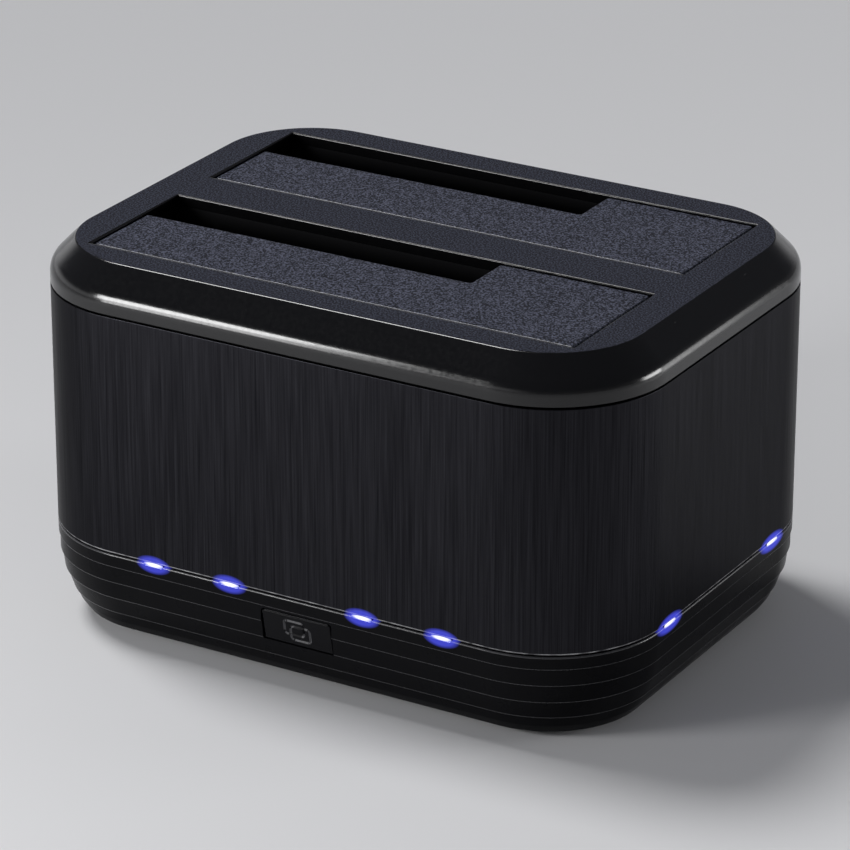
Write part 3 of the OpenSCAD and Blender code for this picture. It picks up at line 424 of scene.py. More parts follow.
def painted_lamp_glow(finish):
    """Paints the lamps' blue glow into the wall round each window as emission, so the wall itself glows."""
    shader = finish.node_tree.nodes["Principled BSDF"]
    shader.inputs["Emission Color"].default_value = (*painted_halo_blue, 1)
    away = lamp_distance(finish, halo_half_l, halo_half_h)
    feed(finish, "Emission Strength", between(finish, away, 1, 0, halo_full, halo_out))


base_satin = new_finish("base satin", (0.0045, 0.0045, 0.0053), 0.3, {"Specular IOR Level": 0.05})
relief(base_satin, noise(base_satin, 0.25 * mm), 0.002 * mm)
feed(base_satin, "Roughness", between(base_satin, noise(base_satin, 9 * mm, detail=4), 0.24, 0.34))
# The base's satin also emits the painted blue glow round the lamp windows.
painted_lamp_glow(base_satin)
# Painted highlight: the base's top rim and the lips of its bands take a paler, glossier copy of the base's
# satin, so that they show as thin bright lines.
rim_painted_highlight = new_finish("base rim painted highlight", (0.04, 0.04, 0.043), 0.2, {"Specular IOR Level": 0.5})
feed(rim_painted_highlight, "Roughness", between(rim_painted_highlight, noise(rim_painted_highlight, 2 * mm, detail=3), 0.14, 0.36))
painted_lamp_glow(rim_painted_highlight)
shade(base, base_satin, rim_painted_highlight)
# Faces of the rim and the lips that get the painted highlight.
level_top, level_under, upright_lip = 0.98, -0.99, -0.1
lips = [underside + band_edge(i) for i in range(1, bands)]
for face in base.data.polygons:
    on_rim = 1 - level_top < face.normal.z < level_top and abs(face.center.z - lower_seam) < rim_round
    on_lip = (level_under < face.normal.z < upright_lip
              and any(0 < face.center.z - z < lip_round for z in lips))
    if on_rim or on_lip:
        face.material_index = 1
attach(base, "housing")
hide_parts("base_tray")

# Rubber feet: four soft black discs, moulded with a rounded rim and a shallow dish underneath.
# Each is pressed and glued into a round recess in the base.
foot_lo, foot_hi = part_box("rubber_feet")
foot_rim = 0.6 * mm
foot_dish = 0.25 * mm
foot_profile = [(0, foot_hi.z), (foot_r, foot_hi.z), (foot_r, foot_rim)]
foot_profile += arc((foot_r - foot_rim, foot_rim), foot_rim, 0, -90, 6)
foot_profile += [(foot_r - 2.5 * foot_rim, foot_lo.z), (foot_r - 3 * foot_rim, foot_dish), (0, foot_dish)]


def spun(bm, profile, x, y):
    """Turns a profile of (radius, height) points once round an upright axis."""
    verts = [bm.verts.new((x + r, y, z)) for r, z in profile]
    edges = [bm.edges.new(pair) for pair in zip(verts, verts[1:])]
    bmesh.ops.spin(bm, geom=verts + edges, cent=(x, y, 0), axis=(0, 0, 1), angle=2 * math.pi,
                   steps=round_segments, use_merge=True, use_duplicate=False)
    bmesh.ops.remove_doubles(bm, verts=bm.verts, dist=merge_dist)


bm = bmesh.new()
for x, y in four_centres("rubber_feet", foot_r):
    spun(bm, foot_profile, x, y)
feet = as_object(bm, "feet")
foot_rubber = new_finish("foot rubber", (0.015, 0.015, 0.016), 0.8, {"Specular IOR Level": 0.3})
relief(foot_rubber, noise(foot_rubber, 0.35 * mm), 0.02 * mm)
tint(foot_rubber, noise(foot_rubber, 1.5 * mm, detail=4), (0.012, 0.012, 0.013), (0.024, 0.024, 0.025))
shade(feet, foot_rubber)
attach(feet, "housing")
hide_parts("rubber_feet")

# Main board: green glass-fibre laminate that hangs under the cradle, with its bridge chips, cans,
# shielded coils and light sources soldered on, and the small screws that hold it.


def dress(node, finish, edge=0.0):
    """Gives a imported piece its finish, and breaks its sharp edges by a small bevel."""
    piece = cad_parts[node]
    piece.data.materials.clear()
    piece.data.materials.append(finish)
    if edge:
        piece.modifiers.new("weld", "WELD").merge_threshold = merge_dist
        flat = piece.modifiers.new("join flats", "DECIMATE")
        flat.decimate_type = "DISSOLVE"
        flat.angle_limit = math.radians(1)
        bevel = piece.modifiers.new("broken edges", "BEVEL")
        bevel.width = edge
        bevel.segments = 2
        bevel.limit_method = "ANGLE"
        bevel.angle_limit = math.radians(40)
        piece.modifiers.new("flat faces", "WEIGHTED_NORMAL")


board_green = new_finish("board laminate", (0.01, 0.06, 0.03), 0.4)
tint(board_green, noise(board_green, 2 * mm, detail=6), (0.008, 0.05, 0.025), (0.014, 0.085, 0.04))
relief(board_green, noise(board_green, 0.4 * mm), 0.01 * mm)
dress("main_board", board_green)

chip_black = new_finish("chip plastic", (0.012, 0.012, 0.013), 0.55)
relief(chip_black, noise(chip_black, 0.1 * mm), 0.01 * mm)
dress("bridge_chips", chip_black, 0.12 * mm)

can_aluminium = new_finish("can aluminium", (0.45, 0.46, 0.48), 0.35, {"Metallic": 1})
feed(can_aluminium, "Roughness", between(can_aluminium, noise(can_aluminium, 1 * mm), 0.28, 0.42))
dress("capacitors", can_aluminium)

coil_ferrite = new_finish("coil ferrite", (0.05, 0.05, 0.052), 0.7)
tint(coil_ferrite, noise(coil_ferrite, 0.2 * mm), (0.035, 0.035, 0.037), (0.075, 0.075, 0.078))
dress("power_inductors", coil_ferrite, 0.15 * mm)

led_cream = new_finish("light source body", (0.8, 0.78, 0.62), 0.4)
tint(led_cream, noise(led_cream, 0.3 * mm), (0.72, 0.7, 0.5), (0.85, 0.83, 0.7))
dress("status_leds", led_cream, 0.08 * mm)

screw_steel = new_finish("screw steel", (0.5, 0.5, 0.52), 0.3, {"Metallic": 1})
feed(screw_steel, "Roughness", between(screw_steel, noise(screw_steel, 0.3 * mm, detail=4), 0.2, 0.45))
for screws in ("board_screws", "cradle_screws", "case_screws"):
    dress(screws, screw_steel)

# Drive sockets: two upright black connectors on the board, one in the floor of each well, with rows
# of gold-plated spring contacts pressed into their slots.
socket_black = new_finish("socket plastic", (0.011, 0.011, 0.012), 0.45)
relief(socket_black, noise(socket_black, 0.12 * mm), 0.006 * mm)
contact_gold = new_finish("contact gold", (0.83, 0.6, 0.25), 0.25, {"Metallic": 1})
tint(contact_gold, noise(contact_gold, 0.5 * mm), (0.75, 0.5, 0.18), (0.88, 0.66, 0.32))
for bay in ("front", "rear"):
    dress(bay + "_sata_socket", socket_black, 0.15 * mm)
    dress(bay + "_sata_contacts", contact_gold)

# Rear ports: a bent steel data port with its blue insulator, a moulded power jack with a plated pin,
# and a snap-in power switch with its rocker and solder blades.
port_nickel = new_finish("port nickel", (0.55, 0.54, 0.52), 0.25, {"Metallic": 1})
drawn_lines = noise(port_nickel, 0.6 * mm, (1, 0.1, 1), 4)
feed(port_nickel, "Roughness", between(port_nickel, drawn_lines, 0.18, 0.36))
dress("usb_port_shell", port_nickel, 0.12 * mm)
dress("dc_jack_pin", port_nickel, 0.2 * mm)
dress("power_switch_terminals", port_nickel)

port_blue = new_finish("port insulator", (0.02, 0.07, 0.36), 0.4)
tint(port_blue, noise(port_blue, 0.5 * mm), (0.017, 0.06, 0.31), (0.026, 0.085, 0.42))
dress("usb_port_tongue", port_blue, 0.15 * mm)
dress("dc_jack_body", socket_black, 0.15 * mm)

switch_black = new_finish("switch plastic", (0.012, 0.012, 0.013), 0.38)
relief(switch_black, noise(switch_black, 0.3 * mm), 0.008 * mm)
dress("power_switch_body", switch_black, 0.2 * mm)
dress("power_rocker", switch_black, 0.3 * mm)

# Clone button: a black moulded key in the front of the base, with a leaning face and a sunken sign of
# two overlapping sheets. A flange stops it behind the wall, and a push switch behind it springs it.
button_front = button_lo.y
button_lean = 1.2 * mm
button_edge = 0.3 * mm
flange_front = button_hi.y - flange_t
bm = bmesh.new()
front = add_prism(bm, button_outline(flange_front + flange_t / 2, 0), (0, -mm, 0))
for v in front:
    v.co.y = button_front + button_lean * (1 - (v.co.z - button_z) / button_face_h)
bmesh.ops.bevel(bm, geom=edges_among(front), offset=button_edge, segments=3, profile=0.5,
                affect="EDGES", material=-1)
button = as_object(bm, "clone_key")
bm = bmesh.new()
add_block(bm, (button_lo.x, flange_front, button_lo.z), button_hi)
carve(button, "UNION", bm)

sheet_w, sheet_h = 4.7 * mm, 3.5 * mm
sheet_round = 0.9 * mm
sheet_shift = Vector((0.65 * mm, -0.55 * mm))
groove_w, groove_depth = 0.5 * mm, 0.25 * mm
lean = math.atan(button_lean / button_face_h)
face_mid = Vector((0, button_front + button_lean / 2, button_z + button_face_h / 2))
for side in (-1, 1):
    bm = bmesh.new()
    sheet = bmesh.ops.create_grid(bm, x_segments=1, y_segments=1, size=0.5)["verts"]
    bmesh.ops.scale(bm, verts=sheet, vec=(sheet_w, sheet_h, 1))
    bmesh.ops.bevel(bm, geom=sheet, offset=sheet_round, segments=5, profile=0.5,
                    affect="VERTICES", material=-1)
    middle = bm.faces[:]
    for depth in (-groove_depth, groove_depth):
        bmesh.ops.inset_region(bm, faces=middle, thickness=groove_w / 2, depth=depth, use_boundary=True,
                               use_even_offset=True)
    bmesh.ops.delete(bm, geom=middle, context="FACES")
    rims = [e for e in bm.edges if e.is_boundary]
    raised = new_verts(bmesh.ops.extrude_edge_only(bm, edges=rims))
    bmesh.ops.translate(bm, verts=raised, vec=(0, 0, groove_depth))
    bmesh.ops.bridge_loops(bm, edges=[e for e in bm.edges if e.is_boundary])
    bmesh.ops.translate(bm, verts=bm.verts, vec=(*(side * sheet_shift), 0))
    stand = Matrix.Translation(face_mid) @ Matrix.Rotation(math.pi / 2 + lean, 4, "X")
    bmesh.ops.transform(bm, verts=bm.verts, matrix=stand)
    carve(button, "DIFFERENCE", bm)
key_satin = new_finish("button satin", (0.006, 0.006, 0.007), 0.26, {"Specular IOR Level": 0.07})
relief(key_satin, noise(key_satin, 0.25 * mm), 0.002 * mm)
sign_grey = new_finish("button sign", (0.07, 0.07, 0.075), 0.5, {"Specular IOR Level": 0.3})
tint(sign_grey, noise(sign_grey, 0.3 * mm), (0.06, 0.06, 0.064), (0.13, 0.13, 0.137))
shade(button, key_satin, sign_grey)
outwards = Vector((0, -math.cos(lean), -math.sin(lean)))
for face in button.data.polygons:
    sunk = (face_mid - face.center).dot(outwards)
    if groove_depth / 2 < sunk < 1.1 * groove_depth and abs(face.center.x) < sheet_w:
        face.material_index = 1
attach(button, "clone_button")
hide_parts("clone_button")
dress("clone_switch", switch_black, 0.15 * mm)

plunger_white = new_finish("plunger plastic", (0.6, 0.6, 0.57), 0.45)
tint(plunger_white, noise(plunger_white, 0.8 * mm), (0.55, 0.55, 0.52), (0.65, 0.65, 0.62))
dress("clone_switch_plunger", plunger_white, 0.2 * mm)

# Light guides: clear moulded bars from the board's edge to the lower seam, four at the front and two at
# each end. Each ends flush in a small window that glows white, edged with blue.
lens_crown = 0.12 * mm
lens_rim = 0.22 * mm
core_half_l, core_half_h = 2.1 * mm, 0.42 * mm
core_white, core_blue = (1, 1, 1), (0.07, 0.09, 0.62)
lamp_lit = new_finish("lamp window", (0.02, 0.02, 0.05), 0.2, {"Emission Strength": 1.2})
core = lamp_lit.node_tree.nodes.new("ShaderNodeMix")
core.data_type = "RGBA"
core_edge = between(lamp_lit, lamp_distance(lamp_lit, core_half_l, core_half_h), 0, 1, 0.25, 1.15)
lamp_lit.node_tree.links.new(core_edge, core.inputs["Factor"])
core.inputs[6].default_value = (*core_white, 1)
core.inputs[7].default_value = (*core_blue, 1)
feed(lamp_lit, "Emission Color", core.outputs[2])
lamp_clear = new_finish("lamp guide", (0.1, 0.11, 0.2), 0.2)
tint(lamp_clear, noise(lamp_clear, 2 * mm), (0.08, 0.09, 0.17), (0.12, 0.13, 0.23))
guide_depth = 4.3 * mm
for name, places in (("front_light_guides", lamp_places()[:4]), ("side_light_guides", lamp_places()[4:])):
    bm = bmesh.new()
    for place, turn in places:
        window = add_lamp_bar(bm, place, turn, 0, guide_depth, 0)
        bmesh.ops.inset_region(bm, faces=[window], thickness=lens_rim, depth=lens_crown,
                               use_even_offset=True)
    guides = as_object(bm, name.replace("guides", "windows"))
    shade(guides, lamp_lit, lamp_clear)
    for face in guides.data.polygons:
        inside = min(half_l - abs(face.center.x), half_w - abs(face.center.y))
        face.material_index = int(inside > lens_crown)
    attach(guides, "housing")
    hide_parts(name)

# Drive cradle: the black moulding with the two wells that the drives stand in. It carries the board
# below, and it is screwed to the cap's bosses above.
# The cradle is black plastic, made darker than real plastic as painted shade for the dark inside of the
# wells.
well_shaded_black = new_finish("well plastic painted shade", (0.005, 0.005, 0.006), 0.6, {"Specular IOR Level": 0.1})
relief(well_shaded_black, noise(well_shaded_black, 0.3 * mm), 0.01 * mm)
tint(well_shaded_black, noise(well_shaded_black, 12 * mm, detail=4), (0.003, 0.003, 0.0035), (0.007, 0.007, 0.008))
dress("drive_cradle", well_shaded_black)

# Aluminium sleeve: a rectangular tube of thin sheet, brushed upright and anodised black. It is held
# between the base's lip and the cap's lip, and notched below for the lamps.
sleeve_t = 1.2 * mm
sheet_edge = 0.18 * mm
bare_edge = 0.3 * mm
sleeve_profile = arc((sheet_edge, sleeve_lo.z + sheet_edge), sheet_edge, 270, 180, 4)
sleeve_profile += [(0, sleeve_lo.z + bare_edge)]
sleeve_profile += arc((sheet_edge, sleeve_hi.z - sheet_edge), sheet_edge, 180, 90, 4)
sleeve_profile += [(sleeve_t, sleeve_hi.z), (sleeve_t, sleeve_lo.z)]
bm = bmesh.new()
carried_round(bm, sleeve_profile, closed=True)
sleeve = as_object(bm, "sleeve_sheet")
bm = bmesh.new()
for place, turn in lamp_places():
    add_lamp_bar(bm, place, turn, window_gap, lamp_depth, past)
carve(sleeve, "DIFFERENCE", bm)

brushed = new_finish("brushed black aluminium", (0.04, 0.04, 0.046), 0.34,
                     {"Metallic": 1, "Specular Tint": (0.6, 0.6, 0.6, 1)})
fine_lines = noise(brushed, 0.16 * mm, (1, 1, 0.01), 2)
broad_lines = noise(brushed, 0.36 * mm, (1, 1, 0.015), 4)
lines = add_node(brushed, "Math", {0: fine_lines, 1: broad_lines}, operation="ADD")
tint(brushed, between(brushed, lines, 0, 1, 0.7, 1.3), (0.0105, 0.0105, 0.0124), (0.026, 0.026, 0.0303))
feed(brushed, "Roughness", between(brushed, broad_lines, 0.28, 0.42))
relief(brushed, fine_lines, 0.008 * mm)
# The brushed sheet also emits the painted blue glow round the lamp windows.
painted_lamp_glow(brushed)
cut_edge = new_finish("cut aluminium edge", (0.4, 0.4, 0.41), 0.4, {"Metallic": 1})
worn = between(cut_edge, noise(cut_edge, 2.5 * mm, detail=3), 0, 1)
tint(cut_edge, worn, (0.05, 0.05, 0.055), (0.5, 0.5, 0.51))
# The cut edge emits the painted blue glow as well.
painted_lamp_glow(cut_edge)
shade(sleeve, brushed, cut_edge)
for face in sleeve.data.polygons:
    if face.center.z - sleeve_lo.z < bare_edge:
        face.material_index = 1
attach(sleeve, "housing")
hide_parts("aluminium_sleeve")

# Top cover: the dark moulded cap. Its flat top is spark-eroded matte and its shoulder is polished, with
# two bay openings. Ears below hold the hinge rods, and four bosses take the cradle's screws.
cap_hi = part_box("top_cover")[1]
upper_seam = sleeve_hi.z + seam_gap
cap_h = cap_hi.z - upper_seam
cap_inset = 5 * mm
cap_band_h = 3.4 * mm
cap_round = 4 * mm
cap_crease = 0.6 * mm
plate_t = 2.2 * mm
lip_t = 1.6 * mm
lip_h = 3.5 * mm
top_z, plate_z = cap_hi.z, cap_hi.z - plate_t
slope = math.atan((cap_h - cap_band_h) / cap_inset)
slope_deg = math.degrees(slope)
crease_run = cap_crease * math.tan(slope / 2)
shoulder_run = cap_round * math.tan((math.pi / 2 - slope) / 2)
slope_wall = plate_t / math.cos(slope)
inner_foot_z = cap_band_h + (lip_inset + lip_t) * math.tan(slope) - slope_wall
inner_inset = cap_inset + (slope_wall - plate_t) / math.tan(slope)
cap_profile = arc((cap_inset + crease_run, cap_h - cap_crease), cap_crease, 90, 90 + slope_deg, 4)
cap_profile += arc((cap_round, cap_band_h - shoulder_run), cap_round, 90 + slope_deg, 180, 12)
cap_profile += arc((sheet_edge, sheet_edge), sheet_edge, 180, 270, 4)
cap_profile += [(lip_inset, 0), (lip_inset, -lip_h), (lip_inset + lip_t, -lip_h),
                (lip_inset + lip_t, inner_foot_z), (inner_inset, cap_h - plate_t)]
door_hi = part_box("front_bay_door")[1]
tab_reach = 0.9 * mm
bay_half_l = door_hi.x - tab_reach
hinge_fwd = 2.2 * mm
bay_d = 30 * mm
bay_edge, bay_front_edge = 0.3 * mm, 0.9 * mm
hinges = {}
for bay in ("front", "rear"):
    rod_lo, rod_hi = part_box(bay + "_hinge_rod")
    hinges[bay] = (rod_lo + rod_hi) / 2
rod_end = rod_hi.x
rod_r = (rod_hi.z - rod_lo.z) / 2
bm = bmesh.new()
carried_round(bm, [(inset, upper_seam + z) for inset, z in cap_profile], closed=False)
for hinge in hinges.values():
    bay_y = hinge.y + hinge_fwd + bay_d / 2
    paths = [arc((-r, top_z - r), r, 90, 0, 4) + [(0, plate_z)] for r in (bay_edge, bay_front_edge)]
    edges = []
    for (inset, z), (front_inset, front_z) in zip(*paths):
        x, back_y, front_y = bay_half_l - inset, bay_y + bay_d / 2 - inset, bay_y - bay_d / 2 + front_inset
        verts = [bm.verts.new(p) for p in ((x, back_y, z), (-x, back_y, z), (-x, front_y, front_z),
                                           (x, front_y, front_z))]
        ring = [bm.edges.new(pair) for pair in zip(verts, verts[1:] + verts[:1])]
        if edges:
            bmesh.ops.bridge_loops(bm, edges=edges + ring)
        edges = ring
for z in (top_z, plate_z):
    level = [v for v in bm.verts if abs(v.co.z - z) < merge_dist]
    bmesh.ops.triangle_fill(bm, use_beauty=True, edges=edges_among(level), normal=(0, 0, 1))
cap = as_object(bm, "cap_shell")

ear_reach = 2 * mm
ear_w, mid_ear_w = 3 * mm, 4 * mm
boss_r = 2.5 * mm
boss_low = 62.3 * mm
small_head_r = 1.9 * mm
small_bore_r, small_bore_h = 1.05 * mm, 9 * mm
hold_gap = 0.02 * mm
bm = bmesh.new()
for hinge in hinges.values():
    for x, w in ((-rod_end + ear_w / 2, ear_w), (0, mid_ear_w), (rod_end - ear_w / 2, ear_w)):
        add_block(bm, (x - w / 2, hinge.y - ear_reach, hinge.z - ear_reach),
                  (x + w / 2, hinge.y + ear_reach, plate_z + plate_t / 2))
for x, y in four_centres("cradle_screws", small_head_r):
    add_rod(bm, (x, y, boss_low), (x, y, plate_z + plate_t / 2), boss_r)
carve(cap, "UNION", bm)
bm = bmesh.new()
for hinge in hinges.values():
    add_rod(bm, (-bay_half_l, hinge.y, hinge.z), (bay_half_l, hinge.y, hinge.z), rod_r + hold_gap)
for x, y in four_centres("cradle_screws", small_head_r):
    add_rod(bm, (x, y, boss_low - past), (x, y, boss_low + small_bore_h), small_bore_r)
carve(cap, "DIFFERENCE", bm)

cap_gloss = new_finish("cap polished", (0.003, 0.003, 0.0035), 0.2, {"Specular IOR Level": 0.5})
relief(cap_gloss, noise(cap_gloss, 0.3 * mm), 0.0015 * mm)
feed(cap_gloss, "Roughness", between(cap_gloss, noise(cap_gloss, 0.8 * mm, detail=4), 0.12, 0.2))
cap_matte = new_finish("cap eroded", (0.03, 0.033, 0.047), 0.55, {"Specular IOR Level": 0.06})
top_grain = noise(cap_matte, 0.34 * mm, detail=2)
tint(cap_matte, between(cap_matte, top_grain, 0, 1, 0.46, 0.58), (0.007, 0.0078, 0.0125),
     (0.072, 0.077, 0.107))
relief(cap_matte, top_grain, 0.02 * mm)
shade(cap, cap_gloss, cap_matte)
eroded_level, eroded_depth = 0.99, 0.01 * mm
for face in cap.data.polygons:
    if face.normal.z > eroded_level and face.center.z > top_z - eroded_depth:
        face.material_index = 1
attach(cap, "housing")
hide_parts("top_cover")

# Bay doors: two L-shaped sprung flaps, moulded in coarse spark-eroded grey plastic. Each turns down
# into its well on two knuckles in front of the bay, and two tabs stop it under the cap.
door_t = 2 * mm
door_gap = 0.5 * mm
hinge_edge_gap = 0.3 * mm
slot_l, slot_d = 72 * mm, 11.5 * mm
door_edge = 0.4 * mm
door_corner = 0.6 * mm
knuckle_r = 1.8 * mm
knuckle_w = 6 * mm
knuckle_x = rod_end - ear_w - 0.5 * mm - knuckle_w / 2
arm_reach, arm_tip = 7 * mm, 1.6 * mm
run_gap = 0.05 * mm
stop_t, stop_w, stop_hold, stop_gap = 0.8 * mm, 3.5 * mm, 3 * mm, 0.1 * mm
door_half = bay_half_l - door_gap
slot_end = slot_l - bay_half_l
door_z = door_hi.z - door_t
door_eroded = new_finish("door eroded", (0.04, 0.043, 0.06), 0.5, {"Specular IOR Level": 0.08})
speckle = noise(door_eroded, 0.36 * mm, detail=2)
tint(door_eroded, between(door_eroded, speckle, 0, 1, 0.46, 0.6), (0.008, 0.009, 0.015),
     (0.13, 0.138, 0.19))
relief(door_eroded, speckle, 0.05 * mm)
door_smooth = new_finish("door edge", (0.03, 0.033, 0.05), 0.25, {"Specular IOR Level": 0.6})
feed(door_smooth, "Roughness", between(door_smooth, noise(door_smooth, 0.5 * mm), 0.2, 0.32))
for bay, hinge in hinges.items():
    front_y = hinge.y + hinge_fwd
    plan = [(-door_half, hinge_edge_gap), (door_half, hinge_edge_gap), (door_half, bay_d - door_gap),
            (slot_end, bay_d - door_gap), (slot_end, bay_d - slot_d), (-door_half, bay_d - slot_d)]
    bm = bmesh.new()
    top = add_prism(bm, [(x, front_y + y, door_z) for x, y in plan], (0, 0, door_t))
    upright = [e for e in bm.edges if abs(e.verts[0].co.z - e.verts[1].co.z) > door_t / 2]
    bmesh.ops.bevel(bm, geom=upright, offset=door_corner, segments=3, profile=0.5,
                    affect="EDGES", material=-1)
    rim = edges_among([v for v in bm.verts if v.co.z > door_hi.z - door_edge])
    bmesh.ops.bevel(bm, geom=rim, offset=door_edge, segments=3, profile=0.5, affect="EDGES", material=-1)
    door = as_object(bm, bay + "_flap")
    under = door_z - hinge.z
    arm_side = [(0, -knuckle_r + run_gap), (arm_reach, under - arm_tip), (arm_reach, under + door_t / 2),
                (hinge_fwd + hinge_edge_gap + door_edge, under + door_t / 2),
                (hinge_fwd + hinge_edge_gap + door_edge, knuckle_r - run_gap), (0, knuckle_r - run_gap)]
    tab_y = front_y + bay_d - slot_d - stop_w - door_gap
    tab_z = plate_z - stop_gap
    for side in (-1, 1):
        bm = bmesh.new()
        start = side * knuckle_x - knuckle_w / 2
        add_prism(bm, [(start, hinge.y + y, hinge.z + z) for y, z in arm_side], (knuckle_w, 0, 0))
        carve(door, "UNION", bm)
        bm = bmesh.new()
        add_rod(bm, (start, hinge.y, hinge.z), (start + knuckle_w, hinge.y, hinge.z), knuckle_r)
        carve(door, "UNION", bm)
        bm = bmesh.new()
        ends = sorted((side * (door_half - stop_hold), side * door_hi.x))
        add_block(bm, (ends[0], tab_y, tab_z - stop_t), (ends[1], tab_y + stop_w, tab_z))
        carve(door, "UNION", bm)
        bm = bmesh.new()
        ends = sorted((side * (door_half - stop_hold), side * (door_half - door_edge)))
        add_block(bm, (ends[0], tab_y, tab_z - stop_t / 2), (ends[1], tab_y + stop_w, door_z + door_t / 2))
        carve(door, "UNION", bm)
    bm = bmesh.new()
    add_rod(bm, (-bay_half_l, hinge.y, hinge.z), (bay_half_l, hinge.y, hinge.z), rod_r + run_gap)
    carve(door, "DIFFERENCE", bm)
    shade(door, door_eroded, door_smooth)
    for face in door.data.polygons:
        if 0.1 < face.normal.z < 0.95:
            face.material_index = 1
    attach(door, bay + "_bay_door")
    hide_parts(bay + "_bay_door")

# Hinge rods and springs: a plain steel rod through the ears and knuckles of each door, and a torsion
# spring wound round it, with one leg on the cap's plate and the other under the door.
spring_wire_r = 0.25 * mm
spring_coil_r = 1.35 * mm
spring_pitch = 0.95 * mm
spring_turns = 7
spring_start_turn, spring_leg_turn = 180, 290
spring_x = 5 * mm
leg_gap = 0.05 * mm
spring_steps = 24
spring_sweep = 360 * spring_turns + spring_leg_turn - spring_start_turn
hinge_steel = new_finish("hinge steel", (0.55, 0.55, 0.56), 0.28, {"Metallic": 1})
turned_lines = noise(hinge_steel, 0.4 * mm, (0.1, 1, 1), 4)
feed(hinge_steel, "Roughness", between(hinge_steel, turned_lines, 0.2, 0.38))
for bay, hinge in hinges.items():
    dress(bay + "_hinge_rod", hinge_steel)
    bm = bmesh.new()
    place = Matrix.Translation((spring_x, hinge.y - spring_coil_r, hinge.z))
    first = bmesh.ops.create_circle(bm, segments=12, radius=spring_wire_r, matrix=place)["verts"]
    steps = round(spring_sweep / 360 * spring_steps)
    wound = bmesh.ops.spin(bm, geom=first + edges_among(first), cent=hinge, axis=(1, 0, 0),
                           dvec=(spring_pitch * spring_sweep / 360 / steps, 0, 0),
                           angle=math.radians(spring_sweep), steps=steps, use_duplicate=False)
    last = new_verts({"geom": wound["geom_last"]})
    turn = math.radians(spring_leg_turn)
    rise = door_z - hinge.z - spring_wire_r - leg_gap - spring_coil_r * math.sin(turn)
    legs = ((first, Vector((0, 0, plate_z - leg_gap - hinge.z))),
            (last, Vector((0, -math.sin(turn), math.cos(turn))) * rise / math.cos(turn)))
    for ring, leg in legs:
        grown = new_verts(bmesh.ops.extrude_edge_only(bm, edges=edges_among(ring)))
        bmesh.ops.translate(bm, verts=grown, vec=leg)
    bmesh.ops.holes_fill(bm, edges=[e for e in bm.edges if e.is_boundary], sides=0)
    spring = as_object(bm, bay + "_torsion_spring")
    shade(spring, hinge_steel, angle=60)
    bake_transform(spring)
    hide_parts(bay + "_door_spring")

# Floor and light: a plain pale floor that runs into a horizon, white on the left and darker on the right,
# a broad sun high on the left as the main light, and low boxes for the highlights on the cap's shoulder.
bm = bmesh.new()
bmesh.ops.create_grid(bm, x_segments=1, y_segments=1, size=4)
ground = as_object(bm, "floor")
pale_floor = new_finish("pale floor", (0.75, 0.75, 0.76), 0.9, {"Specular IOR Level": 0.1})
tint(pale_floor, noise(pale_floor, 200 * mm), (0.74, 0.74, 0.75), (0.76, 0.76, 0.77))
ground.data.materials.append(pale_floor)

white_horizon, dim_horizon, zenith_light = (0.85, 0.85, 0.87), (0.16, 0.16, 0.17), (0.09, 0.093, 0.105)
low_rise, high_rise = math.sin(math.radians(5)), math.sin(math.radians(17))
side_blend = 0.3
world = bpy.data.worlds.new("studio")
world.use_nodes = True
bpy.context.scene.world = world
sky = world.node_tree
facing = sky.nodes.new("ShaderNodeSeparateXYZ")
sky.links.new(sky.nodes.new("ShaderNodeTexCoord").outputs["Generated"], facing.inputs[0])


def sky_blend(axis, start, end, low, high):
    """Blends two colours of the sky along an axis of the view direction."""
    share = sky.nodes.new("ShaderNodeMapRange")
    share.interpolation_type = "SMOOTHSTEP"
    share.inputs["From Min"].default_value = start
    share.inputs["From Max"].default_value = end
    sky.links.new(facing.outputs[axis], share.inputs["Value"])
    mixed = sky.nodes.new("ShaderNodeMix")
    mixed.data_type = "RGBA"
    sky.links.new(share.outputs[0], mixed.inputs["Factor"])
    for socket, colour in ((mixed.inputs[6], low), (mixed.inputs[7], high)):
        if isinstance(colour, bpy.types.NodeSocket):
            sky.links.new(colour, socket)
        else:
            socket.default_value = (*colour, 1)
    return mixed.outputs[2]


horizon = sky_blend("X", -side_blend, side_blend, white_horizon, dim_horizon)
dome = sky_blend("Z", low_rise, high_rise, horizon, zenith_light)
sky.links.new(dome, sky.nodes["Background"].inputs["Color"])


def towards(azimuth, elevation):
    """Direction at an azimuth, counted from the front towards the right end, and an elevation."""
    a, e = math.radians(azimuth), math.radians(elevation)
    return Vector((math.sin(a) * math.cos(e), -math.cos(a) * math.cos(e), math.sin(e)))


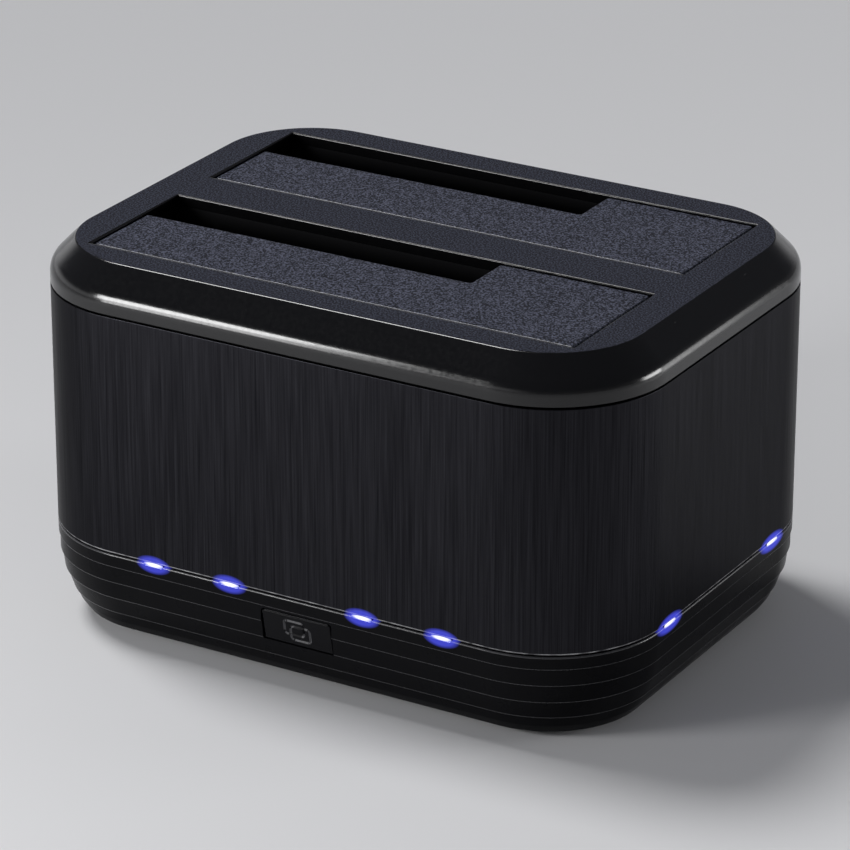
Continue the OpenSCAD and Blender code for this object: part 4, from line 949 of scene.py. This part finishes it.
def soft_box(name, azimuth, elevation, distance, size, radiance):
    """Hangs a soft box that faces the middle of the object."""
    lamp = bpy.data.lights.new(name, "AREA")
    lamp.shape = "RECTANGLE"
    lamp.size, lamp.size_y = size
    lamp.energy = radiance * math.pi * size[0] * size[1]
    hung = bpy.data.objects.new(name, lamp)
    hung.location = Vector((0, 0, upper_seam)) + towards(azimuth, elevation) * distance
    hung.rotation_euler = towards(azimuth, elevation).to_track_quat("Z", "Y").to_euler()
    hung.visible_camera = False
    bpy.context.scene.collection.objects.link(hung)


sun = bpy.data.lights.new("high_sun", "SUN")
sun.angle = math.radians(20)
sun.energy = 1.75
high_left = bpy.data.objects.new("high_sun", sun)
high_left.rotation_euler = towards(-100, 60).to_track_quat("Z", "Y").to_euler()
bpy.context.scene.collection.objects.link(high_left)
soft_box("front_upper", azimuth=-33.8, elevation=13.7, distance=0.451, size=(0.12, 0.105), radiance=22)
soft_box("front_lower", azimuth=-31.5, elevation=0.2, distance=0.905, size=(0.12, 0.21), radiance=12)
soft_box("end_spot", azimuth=119, elevation=2.3, distance=0.44, size=(0.17, 0.08), radiance=11)
soft_box("end_band", azimuth=136, elevation=-2.3, distance=0.442, size=(0.06, 0.1), radiance=3)

# Camera: a long lens a little under a metre off, above and to the right of the front, as in a
# catalogue picture.
view_az, view_el = 30.47, 22.98
view_distance = 899.01 * mm
view_shift = (-0.12 * mm, 32.71 * mm)
focal_px, picture_px, sensor = 4594, 850, 36
back = towards(view_az, view_el)
right = Vector((math.cos(math.radians(view_az)), math.sin(math.radians(view_az)), 0))
lens = bpy.data.cameras.new("camera")
lens.sensor_width = sensor
lens.lens = focal_px / picture_px * sensor
lens.clip_start = 10 * mm
camera = bpy.data.objects.new("camera", lens)
camera.location = right * view_shift[0] + back.cross(right) * view_shift[1] + back * view_distance
camera.location.z += underside
camera.rotation_euler = back.to_track_quat("Z", "Y").to_euler()
bpy.context.scene.collection.objects.link(camera)
bpy.context.scene.camera = camera
bpy.context.scene.view_settings.view_transform = "Standard"
